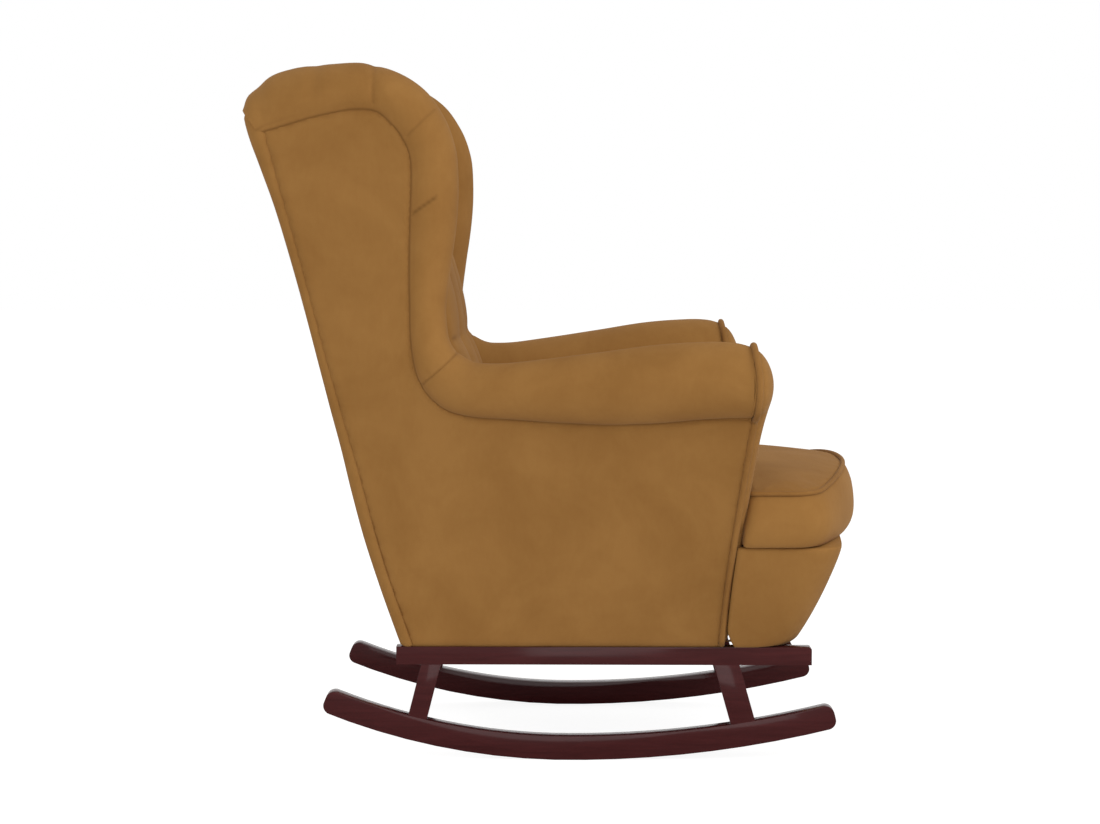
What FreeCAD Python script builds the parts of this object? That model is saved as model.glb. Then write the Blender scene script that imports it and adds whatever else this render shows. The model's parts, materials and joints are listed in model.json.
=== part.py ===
import FreeCAD, Part
import math
import os

# A high-backed wing chair on two wooden rockers, in millimetres.
# X runs across the seat, the chair faces -Y, and Z rises from the floor.
# Paired pieces are drawn on the +X side, which is the sitter's left, and mirrored for the right.

# Wooden base
FOOT_HALF_WIDTH = 196
TIMBER = 22
RAIL_TOP_Z = 167
RAIL_HEIGHT = 26
RAIL_FRONT_Y = -378
RAIL_REAR_Y = 226
RAIL_CORNER = 4
ROCKER_LOW_Y = -27
ROCKER_LEVEL_RUN = 44
ROCKER_RUNS = 8
ROCKER_REAR_RADIUS = 956
ROCKER_FRONT_RADIUS = 1569
ROCKER_REAR_ANGLE = 22.4
ROCKER_FRONT_ANGLE = 14.4
ROCKER_DEPTH = 35
ROCKER_END_ROUNDING = 13
REAR_POST_WIDTH = 28.5
REAR_POST_TOP_Y = 175.5
REAR_POST_FOOT_Y = 197
FRONT_POST_WIDTH = 37
FRONT_POST_TOP_Y = -254.7
FRONT_POST_FOOT_Y = -278.4
POST_FOOT_Z = 57
CROSS_RAIL_DEPTH = 24
FRONT_CROSS_RAIL_Y = -330
REAR_CROSS_RAIL_Y = 150

# Joints of the base
DOWEL_RADIUS = 4
DOWEL_LENGTH = 28
BOLT_RADIUS = 3
BOLT_LENGTH = 52
BOLT_HEAD_RADIUS = 5
BOLT_HEAD_HEIGHT = 6
BOLT_X = 182
BOLT_YS = (-290, -150, 110)
CROSS_DOWEL_SPACING = 22

# Seat frame, springs and deck
BLOCK_LENGTH = 36
BLOCK_HALF_WIDTHS = (164, 185.5)
SEAT_RAIL_Z = (190, 230)
SEAT_RAIL_HALF_WIDTHS = (152, 188)
SEAT_RAIL_REAR_Y = 205
FRONT_RAIL_HALF_WIDTH = 176
SPRING_RAIL_TOP_Z = 300
SPRING_COUNT = 5
SPRING_PITCH = 58
SPRING_WIRE = 1.8
SPRING_LOOP_RADIUS = 11
SPRING_STRAIGHT = 22
CLIP_LENGTH = 18
CLIP_SHEET = 1.2
CLIP_HALF_GAP = 2.6
DECK_HALF_WIDTH = 158
DECK_TOP_Z = 321.5
DECK_REAR_Y = 167
DECK_SPRING_GAP = 1.5
DUST_COVER_THICKNESS = 1.5

# Sides: the outer face is ruled between three straight lines, one at each height
ARM_SEAM_Z = 505
SIDE_TOP_Z = 960
ARM_SEAM_REAR_X = 212
ARM_SEAM_FRONT_X = 338
SIDE_TOP_REAR_X = 220
SIDE_TOP_FRONT_X = 328
SIDE_FRONT_Y = -290
PANEL_THICKNESS = 6
BOARD_DEPTHS = (6, 16)
INSIDE_DEPTH = 55
SIDE_PIECE_GAP = 0.3

# Seam round the outside panel, seen from the side as (y, z): arm, mitre, wing and top
ARM_SEAM_FRONT_Z = 514
ARM_SEAM_LOW = (-74, 501)
ARM_SEAM_REAR = (120, 509)
MITRE_SEAM = (176, 541)
WING_SEAM_LOW = (200, 631)
WING_SEAM_HIGH = (197, 857)
TOP_CORNER_SEAM = (210, 902)
TOP_SEAM_FRONT = (245, 937)
TOP_SEAM_MIDDLE = (297, 938)
TOP_SEAM_REAR = (339, 929)
SIDE_REAR_TOP_Z = 912
MITRE_SHARE = 0.7
CORNER_SHARES = (0.8, 0.6, 0.4)

# Back
BACK_FOOT_Y = 218
BACK_TOP_Y = 437
BACK_TOP_Z = 937
BACK_PANEL_THICKNESS = 12
STILE_DEPTH = 125
STILE_HALF_WIDTHS = (163, 175)
STILE_TOP_Z = 905
BACK_RAIL_DEPTH = 25
BACK_RAIL_HEIGHT = 45
LUMBAR_RAIL_Z = 330
WEBBING_THICKNESS = 2.5
WEBBING_WIDTH = 50
WEBBING_ZS = (470, 590, 710, 830)
BACK_PAD_HALF_WIDTH = 186
SEAM_ROWS = ((116, 455), (152, 615), (172, 755), (212, 885))
ROW_SWELL = (30, 30, 26, 5)
PAD_TOP = (236, 930)
PAD_BOTTOM_Z = 330
SEWN_COLUMNS = 6
SEWN_FULLNESS = 0.45
CREST_FRONT_ARC = ((246, 976), (300, 994))
CREST_TOP_ARC = ((352, 998), (404, 980))
CREST_REAR_POINT = (428, 962)
CREST_LIFT = 5
BACK_PANEL_TOP_GAP = 8
CORNER_ROUNDNESS = 0.3
BUTTON_COLUMN_X = 62
BUTTON_RADIUS = 11
BUTTON_HEIGHT = 7

# Arms: the front face leans, and its padding swells towards the top
ARM_FRONT_FOOT_Y = -245
ARM_FRONT_TOP_Y = -277
ARM_FRONT_TOP_Z = 612
ARM_FRONT_BULGE = (11, 27)
ARM_BOTTOM_Z = 170
ARM_CREST_OFFSET = 12
ARM_OUTER_BULGE = 54
ARM_BULGE_SHARE = 0.47
ARM_FRONT_ROLL_HEIGHT = 114
ARM_INNER_SWELL = (38, 24)
ARM_INNER_SEAM_SHARE = 0.3
ARM_CREST_REAR = (60, 584)
ARM_CREST_FRONT = (-210, 619)
ARM_ROLL_SECTIONS_Y = (190, 110, 30, -60, -150, -220)
ARM_BOARD_REAR_GAP = 20
ARM_BOARD_TOP_REAR_Y = 300
WING_BOARD_INSET = 12
ARM_BOARD_TOP_Z = 548
ARM_FRONT_BOARD = 15
ARM_FRONT_BOARD_INSET = 22
ARM_FRONT_NOTCH_Z = 530
ARM_FRONT_LAYERS = ((0.4, 0), (1.6, 0.45), (5, 0.8), (15, 1.0))
ARM_FRONT_CREST_DROP = 5
PIPING_RADIUS = 3.5
PIPING_START = -55
PIPING_STEP = 47
PIPING_CORNERS = 6
PIPING_PROUD = 0.2
PIPING_CUT_SHARE = 0.45
PIPING_TUCK_Z = 446

# Padded roll of the wing, at stations round its edge: seam (y, z), edge (y, z) and outer swell
WING_STATIONS = (
    ((140, 517), (92, 590), 34),
    ((180, 548), (122, 598), 24),
    ((197, 596), (141, 616), 15),
    ((200, 665), (149, 667), 9),
    ((199, 740), (139, 742), 9),
    ((197, 825), (131, 830), 9),
    ((201, 882), (137, 900), 9),
    ((221, 918), (170, 961), 9),
    ((245, 937), (220, 995), 9),
    ((282, 940), (282, 1006), 9),
    ((339, 929), (352, 1003), 9),
    ((384, 916), (404, 984), 7),
    ((414, 909), (434, 955), 2),
)
WING_ROLL_WIDTH = 60
WING_EDGE_X = 26
WING_BULGE_SHARE = 0.55
WING_INNER_SHARE = 0.6
WING_FRONT_Y = 120
WING_REACH_Z = 1000
WING_PAD_FOOT_Z = 605

# Seat cushion and the apron below it
CUSHION_BOTTOM_Z = 322
CUSHION_EDGE_Z = 400
CUSHION_FRONT_Y = -457
CUSHION_FRONT_DRAW = 9
CUSHION_REAR_Y = 100
CUSHION_EAR_X = 276
CUSHION_CORNER = 50
CUSHION_FRONT_RADIUS = 560
CUSHION_SIDES = ((322, 10), (332, 5), (358, 0), (384, 2), (400, 9))
CUSHION_CROWN = ((408, 20), (420, 40), (430, 63), (437, 90))
CUSHION_BOTTOM_INSET = 16
CUSHION_EAR_SHARE = 0.1
CUSHION_REAR_SHARE = 0.5
CUSHION_CORNER_FADE = 250
CUSHION_PIPING_INSET = 5.6
CUSHION_PIPING_RISE = 2.8
APRON_BOTTOM_FRONT_Y = -358
APRON_TOP_FRONT_Y = -428
APRON_TOP_HALF_WIDTH = 258
APRON_CORNER = 50
APRON_FRONT_RADIUS = 2000
APRON_THICKNESS = 10
APRON_EDGE_HEIGHT = 12
APRON_EDGE_EASE = (9, 13)
FRONT_BLOCK_BOARD = 30
FRONT_BLOCK_TOP_Z = 321
CUSHION_SIDE_GAP = 1.5
BLOCK_GAP = 2
FRONT_RAIL_SETBACK = 18
REAR_RAIL_SETBACK = 3

# The drawing above is moved along Y so that the origin lies under the middle of the chair
MIDDLE_SHIFT_Y = 10.5

# Spare length for pieces that are cut to size
EXTRA = 60

V = FreeCAD.Vector


def edges_through(place, start, steps):
    """Straight lines (one point) and arcs (a point on the way, then an end), one after another."""
    edges = []
    here = place(*start)
    for step in steps:
        points = [place(*point) for point in step]
        if len(points) == 1:
            edges.append(Part.makeLine(here, points[0]))
        else:
            edges.append(Part.Arc(here, points[0], points[1]).toShape())
        here = points[-1]
    return edges


def wire_through(place, start, steps):
    """Closed wire through steps, with a straight line back to the start where one is missing."""
    edges = edges_through(place, start, steps)
    end = place(*steps[-1][-1])
    if (end - place(*start)).Length > 1e-6:
        edges.append(Part.makeLine(end, place(*start)))
    return Part.Wire(edges)


def side_view_prism(x_from, x_to, start, steps):
    """Solid whose outline is drawn from the side, as (y, z) points, and runs across in X."""
    wire = wire_through(lambda y, z: V(x_from, y, z), start, steps)
    return Part.Face(wire).extrude(V(x_to - x_from, 0, 0))


def rounded_path(points, cuts):
    """Straight runs joined by tangent arcs, each arc starting a cut's length before its corner."""
    edges = []
    here = points[0]
    for before, corner, after, cut in zip(points[:-2], points[1:-1], points[2:], cuts):
        to_before = (before - corner).normalize()
        to_after = (after - corner).normalize()
        half = to_before.getAngle(to_after) / 2
        inward = (to_before + to_after).normalize()
        middle = corner + inward * (cut / math.cos(half) - cut * math.tan(half))
        enter = corner + to_before * cut
        leave = corner + to_after * cut
        if (enter - here).Length > 1e-6:
            edges.append(Part.makeLine(here, enter))
        edges.append(Part.Arc(enter, middle, leave).toShape())
        here = leave
    edges.append(Part.makeLine(here, points[-1]))
    return Part.Wire(edges)


def cord(path, radius):
    """Round cord along a path whose arcs are tangent to its straight runs."""
    start = path.OrderedVertexes[0].Point
    ahead = path.OrderedEdges[0].valueAt(path.OrderedEdges[0].LastParameter) - start
    tube = path.makePipeShell([Part.Wire([Part.makeCircle(radius, start, ahead)])], True, False)
    length = path.Length
    print("cord", round(tube.Volume / (math.pi * radius ** 2 * length), 3), "of section times length")
    return tube


def block(x_span, y_span, z_span):
    """Rectangular solid between two values on each axis."""
    size = [max(span) - min(span) for span in (x_span, y_span, z_span)]
    return Part.makeBox(size[0], size[1], size[2], V(min(x_span), min(y_span), min(z_span)))


def mirrored(shape):
    return shape.mirror(V(0, 0, 0), V(1, 0, 0))


def solid_loft(wires, ruled=False):
    return Part.makeLoft(wires, True, ruled)


def between(value, low, high, at_low, at_high):
    """Straight-line value between two known ones."""
    return at_low + (at_high - at_low) * (value - low) / (high - low)


def write(name, shape):
    shape = shape.translated(V(0, MIDDLE_SHIFT_Y, 0))
    shape.exportStep("parts/" + name + ".step")
    print(name, round(shape.Volume / 1000.0, 1), "cm3", len(shape.Solids), "solids", shape.isValid())


def write_pair(name, shape):
    write("left_" + name, shape)
    write("right_" + name, mirrored(shape))


def rear_y(z):
    """Outer face of the raked back."""
    return between(z, RAIL_TOP_Z, BACK_TOP_Z, BACK_FOOT_Y, BACK_TOP_Y)


def side_line(z):
    """Half width at the rear edge and at the front edge of the side's outer face, at one height."""
    if z <= ARM_SEAM_Z:
        rear = between(z, RAIL_TOP_Z, ARM_SEAM_Z, FOOT_HALF_WIDTH, ARM_SEAM_REAR_X)
        front = between(z, RAIL_TOP_Z, ARM_SEAM_Z, FOOT_HALF_WIDTH, ARM_SEAM_FRONT_X)
    else:
        rear = between(z, ARM_SEAM_Z, SIDE_TOP_Z, ARM_SEAM_REAR_X, SIDE_TOP_REAR_X)
        front = between(z, ARM_SEAM_Z, SIDE_TOP_Z, ARM_SEAM_FRONT_X, SIDE_TOP_FRONT_X)
    return rear, front


def side_x(y, z):
    """Half width of the side's outer face at a place on it."""
    rear, front = side_line(z)
    return between(y, rear_y(z), SIDE_FRONT_Y, rear, front)


def side_slab(depth_out, depth_in):
    """Layer of the side between two depths below its outer face."""
    wires = []
    for z in (RAIL_TOP_Z, ARM_SEAM_Z, SIDE_TOP_Z):
        rear, front = side_line(z)
        corners = [(rear - depth_out, rear_y(z)), (front - depth_out, SIDE_FRONT_Y),
                   (front - depth_in, SIDE_FRONT_Y), (rear - depth_in, rear_y(z))]
        points = [V(x, y, z) for x, y in corners]
        wires.append(Part.makePolygon(points + points[:1]))
    return solid_loft(wires, True)


def arm_front_y(z, forward=0.0):
    """Leaning plane of the arm's front seam, moved forward by a share of the padding's swell."""
    seam = between(z, ARM_BOTTOM_Z, ARM_FRONT_TOP_Z, ARM_FRONT_FOOT_Y, ARM_FRONT_TOP_Y)
    swell = between(z, ARM_BOTTOM_Z, ARM_FRONT_TOP_Z, ARM_FRONT_BULGE[0], ARM_FRONT_BULGE[1])
    return seam - forward * swell


def side_outline(inset=0):
    """Seam round the outside panel as start and steps: arm, corner, wing and top, then the back."""
    def drawn_in(point, y_share, z_share):
        return (point[0] + inset * y_share, point[1] - inset * z_share)

    rear_depth = BACK_PANEL_THICKNESS + SIDE_PIECE_GAP
    rear_top_z = SIDE_REAR_TOP_Z - inset
    start = (arm_front_y(RAIL_TOP_Z) + inset, RAIL_TOP_Z)
    steps = [
        [(arm_front_y(ARM_SEAM_FRONT_Z) + inset, ARM_SEAM_FRONT_Z - inset)],
        [drawn_in(ARM_SEAM_LOW, 0, 1), drawn_in(ARM_SEAM_REAR, 0, 1)],
        [drawn_in(MITRE_SEAM, MITRE_SHARE, MITRE_SHARE), drawn_in(WING_SEAM_LOW, 1, 0)],
        [drawn_in(WING_SEAM_HIGH, 1, 0)],
        [drawn_in(TOP_CORNER_SEAM, CORNER_SHARES[0], CORNER_SHARES[1]),
         drawn_in(TOP_SEAM_FRONT, CORNER_SHARES[2], 1)],
        [drawn_in(TOP_SEAM_MIDDLE, 0, 1), drawn_in(TOP_SEAM_REAR, 0, 1)],
        [(rear_y(rear_top_z) - rear_depth, rear_top_z)],
        [(rear_y(RAIL_TOP_Z) - rear_depth, RAIL_TOP_Z)],
    ]
    return start, steps


def side_prism(inset=0):
    start, steps = side_outline(inset)
    return side_view_prism(0, SIDE_TOP_FRONT_X + EXTRA * 2, start, steps)


def rocker():
    """Runner with an arched top, an underside of short straight runs on two arcs, and rounded ends."""
    def on_arc(radius, inward, angle):
        distance = radius - inward
        centre_z = math.sqrt(radius ** 2 - (ROCKER_LEVEL_RUN / 2) ** 2)
        return (ROCKER_LOW_Y + distance * math.sin(angle), centre_z - distance * math.cos(angle))

    def underside(radius, last):
        first = math.copysign(math.asin(ROCKER_LEVEL_RUN / 2 / radius), last)
        return [on_arc(radius, 0, between(run, 0, ROCKER_RUNS, first, last)) for run in range(ROCKER_RUNS + 1)]

    rear = math.radians(ROCKER_REAR_ANGLE)
    front = -math.radians(ROCKER_FRONT_ANGLE)
    rear_runs = underside(ROCKER_REAR_RADIUS, rear)
    front_runs = underside(ROCKER_FRONT_RADIUS, front)
    steps = [[point] for point in rear_runs[1:]]
    steps.append([on_arc(ROCKER_REAR_RADIUS, ROCKER_DEPTH, rear)])
    steps.append([on_arc(ROCKER_REAR_RADIUS, ROCKER_DEPTH, rear / 2), (ROCKER_LOW_Y, ROCKER_DEPTH)])
    steps.append([on_arc(ROCKER_FRONT_RADIUS, ROCKER_DEPTH, front / 2),
                  on_arc(ROCKER_FRONT_RADIUS, ROCKER_DEPTH, front)])
    steps += [[point] for point in reversed(front_runs)]
    steps.append([rear_runs[0]])
    plank = side_view_prism(FOOT_HALF_WIDTH - TIMBER, FOOT_HALF_WIDTH, rear_runs[0], steps)
    ends = []
    for edge in plank.Edges:
        middle = edge.CenterOfMass
        crosswise = abs(edge.Length - TIMBER) < 0.01
        at_rear = middle.y > rear_runs[-1][0] - ROCKER_DEPTH
        at_front = middle.y < front_runs[-1][0] + ROCKER_DEPTH
        if crosswise and (at_rear or at_front):
            ends.append(edge)
    return plank.makeFillet(ROCKER_END_ROUNDING, ends)


def post(top_y, foot_y, width, runner):
    """Leaning post between the rail's underside and the runner's upper face."""
    top_z = RAIL_TOP_Z - RAIL_HEIGHT
    lean = (foot_y - top_y) / (top_z - POST_FOOT_Z)
    low_z = POST_FOOT_Z - ROCKER_DEPTH / 2
    low_y = foot_y + lean * (POST_FOOT_Z - low_z)
    steps = [[(top_y + width / 2, top_z)], [(low_y + width / 2, low_z)], [(low_y - width / 2, low_z)]]
    x_span = (FOOT_HALF_WIDTH - TIMBER, FOOT_HALF_WIDTH)
    return side_view_prism(x_span[0], x_span[1], (top_y - width / 2, top_z), steps).cut(runner)


def post_dowels(top_y, foot_y, width):
    """Two dowels across each end of a post, along the post's own lean."""
    top_z = RAIL_TOP_Z - RAIL_HEIGHT
    along = V(0, foot_y - top_y, POST_FOOT_Z - top_z).normalize()
    middle_x = FOOT_HALF_WIDTH - TIMBER / 2
    dowels = []
    for centre_y, centre_z in ((top_y, top_z), (foot_y, POST_FOOT_Z)):
        for offset in (-width / 4, width / 4):
            start = V(middle_x, centre_y + offset, centre_z) - along * (DOWEL_LENGTH / 2)
            dowels.append(Part.makeCylinder(DOWEL_RADIUS, DOWEL_LENGTH, start, along))
    return dowels


def rail_bolts():
    """Cap bolts that come up through the side rail and its block into the seat frame."""
    bolts = []
    for y in BOLT_YS:
        foot = V(BOLT_X, y, RAIL_TOP_Z - RAIL_HEIGHT + 1)
        head = Part.makeCylinder(BOLT_HEAD_RADIUS, BOLT_HEAD_HEIGHT, foot)
        bolts.append(head.fuse(Part.makeCylinder(BOLT_RADIUS, BOLT_LENGTH, foot)))
    return bolts


def bolt_recesses():
    """Holes for the heads in the rail's underside."""
    holes = []
    for y in BOLT_YS:
        foot = V(BOLT_X, y, RAIL_TOP_Z - RAIL_HEIGHT)
        holes.append(Part.makeCylinder(BOLT_HEAD_RADIUS, BOLT_HEAD_HEIGHT + 1, foot))
    return holes


def cross_rail(y):
    """Flat bar between the two side rails."""
    half = FOOT_HALF_WIDTH - TIMBER
    bottom = RAIL_TOP_Z - RAIL_HEIGHT
    return block((-half, half), (y - TIMBER, y + TIMBER), (bottom, bottom + CROSS_RAIL_DEPTH))


def cross_rail_dowels():
    """Two dowels through each joint between a side rail and a cross rail."""
    dowels = []
    inner_x = FOOT_HALF_WIDTH - TIMBER
    for y in (FRONT_CROSS_RAIL_Y, REAR_CROSS_RAIL_Y):
        for offset in (-CROSS_DOWEL_SPACING / 2, CROSS_DOWEL_SPACING / 2):
            start = V(inner_x - DOWEL_LENGTH / 2, y + offset, RAIL_TOP_Z - RAIL_HEIGHT / 2)
            dowels.append(Part.makeCylinder(DOWEL_RADIUS, DOWEL_LENGTH, start, V(1, 0, 0)))
    return dowels


def seat_blocks():
    """Packing blocks that lift the seat frame off the side rails."""
    return [block(BLOCK_HALF_WIDTHS, (y - BLOCK_LENGTH / 2, y + BLOCK_LENGTH / 2),
                  (RAIL_TOP_Z, SEAT_RAIL_Z[0])) for y in BOLT_YS]


def front_rail_y():
    """Front face of the seat's front rail."""
    return APRON_BOTTOM_FRONT_Y + FRONT_RAIL_SETBACK


def seat_side_rail():
    """Long board of the seat frame, which runs above the gap between the arm and the front block."""
    return block(SEAT_RAIL_HALF_WIDTHS, (front_rail_y() + TIMBER, SEAT_RAIL_REAR_Y), SEAT_RAIL_Z)


def spring_rail(front_y, half_width):
    """Upright board that carries one end of the springs."""
    return block((-half_width, half_width), (front_y, front_y + TIMBER),
                 (SEAT_RAIL_Z[0], SPRING_RAIL_TOP_Z))


def zigzag_spring(x, y_from, y_to):
    """Wire that winds to and fro in a flat zigzag of half-turn loops joined by straight bars."""
    z = SPRING_RAIL_TOP_Z + SPRING_WIRE
    turns = int((y_to - y_from - 2 * SPRING_LOOP_RADIUS) / (2 * SPRING_LOOP_RADIUS))
    start = V(x - SPRING_STRAIGHT / 2, y_from + SPRING_LOOP_RADIUS, z)
    edges = []
    here = start
    side = 1
    for turn in range(turns):
        corner = V(x + side * SPRING_STRAIGHT / 2, here.y, z)
        edges.append(Part.makeLine(here, corner))
        bulge = corner + V(side * SPRING_LOOP_RADIUS, SPRING_LOOP_RADIUS, 0)
        after = corner + V(0, 2 * SPRING_LOOP_RADIUS, 0)
        edges.append(Part.Arc(corner, bulge, after).toShape())
        here = after
        side = -side
    edges.append(Part.makeLine(here, V(x + side * SPRING_STRAIGHT / 2, here.y, z)))
    section = Part.Wire([Part.makeCircle(SPRING_WIRE, start, V(1, 0, 0))])
    return Part.Wire(edges).makePipeShell([section], True, False)


def spring_xs():
    middle = (SPRING_COUNT - 1) / 2
    return [(index - middle) * SPRING_PITCH for index in range(SPRING_COUNT)]


def spring_clip(x, y):
    """Folded steel clip over a spring's end bar, nailed to the board below."""
    width = SPRING_STRAIGHT - 2
    bar_top = SPRING_RAIL_TOP_Z + 2 * SPRING_WIRE
    base = block((x - width / 2, x + width / 2), (y - CLIP_LENGTH / 2, y + CLIP_LENGTH / 2),
                 (SPRING_RAIL_TOP_Z, bar_top + CLIP_SHEET))
    groove = block((x - width, x + width), (y - CLIP_HALF_GAP, y + CLIP_HALF_GAP),
                   (SPRING_RAIL_TOP_Z, bar_top))
    return base.cut(groove)


def raked_bar(x_span, z_span, depths):
    """Bar that follows the rake of the back, between two depths in from its outer face."""
    low, high = z_span
    steps = [[(rear_y(low) - depths[1], low)], [(rear_y(high) - depths[1], high)],
             [(rear_y(high) - depths[0], high)]]
    return side_view_prism(x_span[0], x_span[1], (rear_y(low) - depths[0], low), steps)


def outside_back():
    """Padded panel over the whole outside of the back, wider at the top, with eased edges."""
    wires = []
    for z in (RAIL_TOP_Z, ARM_SEAM_Z, BACK_TOP_Z - BACK_PANEL_TOP_GAP):
        half = side_line(z)[0]
        outer = rear_y(z)
        ease = BACK_PANEL_THICKNESS / 2
        rounded = CORNER_ROUNDNESS * ease
        inner = outer - BACK_PANEL_THICKNESS
        steps = [
            [(half, outer - ease)],
            [(half - rounded, outer - rounded), (half - ease, outer)],
            [(ease - half, outer)],
            [(rounded - half, outer - rounded), (-half, outer - ease)],
            [(-half, inner)],
        ]
        wires.append(wire_through(lambda x, y, level=z: V(x, y, level), (half, inner), steps))
    return solid_loft(wires, True)


def tufted(sections, half_width):
    """Padding that swells between sewn columns: side-view sections evenly spread across."""
    wires = []
    for index in range(SEWN_COLUMNS + 1):
        fullness = 1.0 if index % 2 else SEWN_FULLNESS
        x = between(index, 0, SEWN_COLUMNS, -half_width, half_width)
        start, steps = sections(fullness)
        wires.append(wire_through(lambda y, z, across=x: V(across, y, z), start, steps))
    return solid_loft(wires)


def swell(low, high, out, fullness):
    """Middle point of an arc between two side-view points, swollen forward by a share."""
    return ((low[0] + high[0]) / 2 - out * fullness, (low[1] + high[1]) / 2)


def back_pad_section(fullness):
    """Side view of the inside back: rows that swell between the sewn seams."""
    back_depth = BACK_PANEL_THICKNESS + STILE_DEPTH + WEBBING_THICKNESS + SIDE_PIECE_GAP
    rows = list(SEAM_ROWS) + [PAD_TOP]
    steps = [[rows[0]]]
    for low, high, out in zip(rows[:-1], rows[1:], ROW_SWELL):
        steps.append([swell(low, high, out, fullness), high])
    steps.append([(rear_y(PAD_TOP[1]) - back_depth, PAD_TOP[1])])
    steps.append([(rear_y(PAD_BOTTOM_Z) - back_depth, PAD_BOTTOM_Z)])
    return (SEAM_ROWS[0][0], PAD_BOTTOM_Z), steps


def top_roll_section(fullness):
    """Side view of the padded crest of the back."""
    bottom = PAD_TOP[1] + SIDE_PIECE_GAP
    lift = CREST_LIFT * fullness
    steps = [[(y, z + lift) for y, z in CREST_FRONT_ARC],
             [(y, z + lift) for y, z in CREST_TOP_ARC],
             [CREST_REAR_POINT, (rear_y(bottom), bottom)]]
    return (PAD_TOP[0], bottom), steps


def buttons():
    """Covered buttons sunk where the sewn rows and columns cross."""
    found = []
    for y, z in SEAM_ROWS[1:]:
        front_y = y + 1 - BUTTON_HEIGHT
        for x in (-BUTTON_COLUMN_X, BUTTON_COLUMN_X):
            disc = Part.makeCylinder(BUTTON_RADIUS, BUTTON_HEIGHT, V(x, y + 1, z), V(0, -1, 0))
            rims = [edge for edge in disc.Edges if abs(edge.CenterOfMass.y - front_y) < 0.1]
            found.append(disc.makeFillet(BUTTON_HEIGHT / 2, rims))
    return found


def crest_z(y):
    """Top of the arm, which rises towards the front."""
    rear_y_place, rear_z = ARM_CREST_REAR
    front_y_place, front_z = ARM_CREST_FRONT
    place = min(max(y, front_y_place), rear_y_place)
    return between(place, rear_y_place, front_y_place, rear_z, front_z)


def roll_outline(y, inset=0.0):
    """Points round the arm's roll: outer seam, swell, crest, inner swell and inner seam."""
    seam = side_x(y, ARM_SEAM_Z)
    crest = crest_z(y)
    if y <= ARM_FRONT_TOP_Y:
        crest = crest - ARM_FRONT_CREST_DROP
    height = crest - ARM_SEAM_Z
    swell_out = ARM_OUTER_BULGE * height / ARM_FRONT_ROLL_HEIGHT
    inner_x, inner_drop = ARM_INNER_SWELL
    slanted = inset * MITRE_SHARE
    return [
        (seam - inset, ARM_SEAM_Z),
        (seam + swell_out - inset, ARM_SEAM_Z + ARM_BULGE_SHARE * height),
        (seam + ARM_CREST_OFFSET, crest - inset),
        (seam - inner_x + slanted, crest - inner_drop - slanted),
        (seam - INSIDE_DEPTH + inset, ARM_SEAM_Z + ARM_INNER_SEAM_SHARE * height),
    ]


def arm_roll():
    """Padded roll over the top of the arm, from the front seam back to under the wing."""
    def section(y, place):
        seam, out, crest, inward, inner = roll_outline(y)
        steps = [[out, crest], [inward, inner], [(inner[0], ARM_SEAM_Z)]]
        return wire_through(place, seam, steps)

    wires = []
    for y in ARM_ROLL_SECTIONS_Y:
        wires.append(section(y, lambda x, z, along=y: V(x, along, z)))
    wires.append(section(ARM_FRONT_TOP_Y, lambda x, z: V(x, arm_front_y(z), z)))
    return solid_loft(wires)


def arm_front_wire(inset, forward):
    """Outline of the whole arm seen from the front, on its leaning plane."""
    seam, out, crest, inward, inner = roll_outline(ARM_FRONT_TOP_Y, inset)
    foot_outer = (side_x(ARM_FRONT_FOOT_Y, ARM_BOTTOM_Z) - inset, ARM_BOTTOM_Z + inset)
    foot_inner = (foot_outer[0] - INSIDE_DEPTH + 2 * inset, ARM_BOTTOM_Z + inset)
    steps = [[seam], [out, crest], [inward, inner], [(inner[0], ARM_SEAM_Z)], [foot_inner]]
    return wire_through(lambda x, z: V(x, arm_front_y(z, forward), z), foot_outer, steps)


def arm_front_panel():
    """Swelling pad on the front of the arm: outlines drawn in by an inset and moved forward by a share."""
    pad = solid_loft([arm_front_wire(inset, forward) for inset, forward in ARM_FRONT_LAYERS])
    return pad.cut(seat_side_rail())


def arm_front_board():
    """Upright board behind the arm's front pad."""
    face = Part.Face(arm_front_wire(ARM_FRONT_BOARD_INSET, 0))
    skin = side_slab(0, PANEL_THICKNESS + SIDE_PIECE_GAP).common(side_prism())
    foot = block((0, SIDE_TOP_FRONT_X), (SIDE_FRONT_Y - EXTRA, 0), (0, SEAT_RAIL_Z[1]))
    below_roll = block((0, SIDE_TOP_FRONT_X + EXTRA), (SIDE_FRONT_Y - EXTRA, 0), (0, ARM_FRONT_NOTCH_Z))
    beside_panel = side_slab(-EXTRA, PANEL_THICKNESS + SIDE_PIECE_GAP).common(below_roll)
    return face.extrude(V(0, ARM_FRONT_BOARD, 0)).cut(foot).cut(skin).cut(beside_panel)


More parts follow.
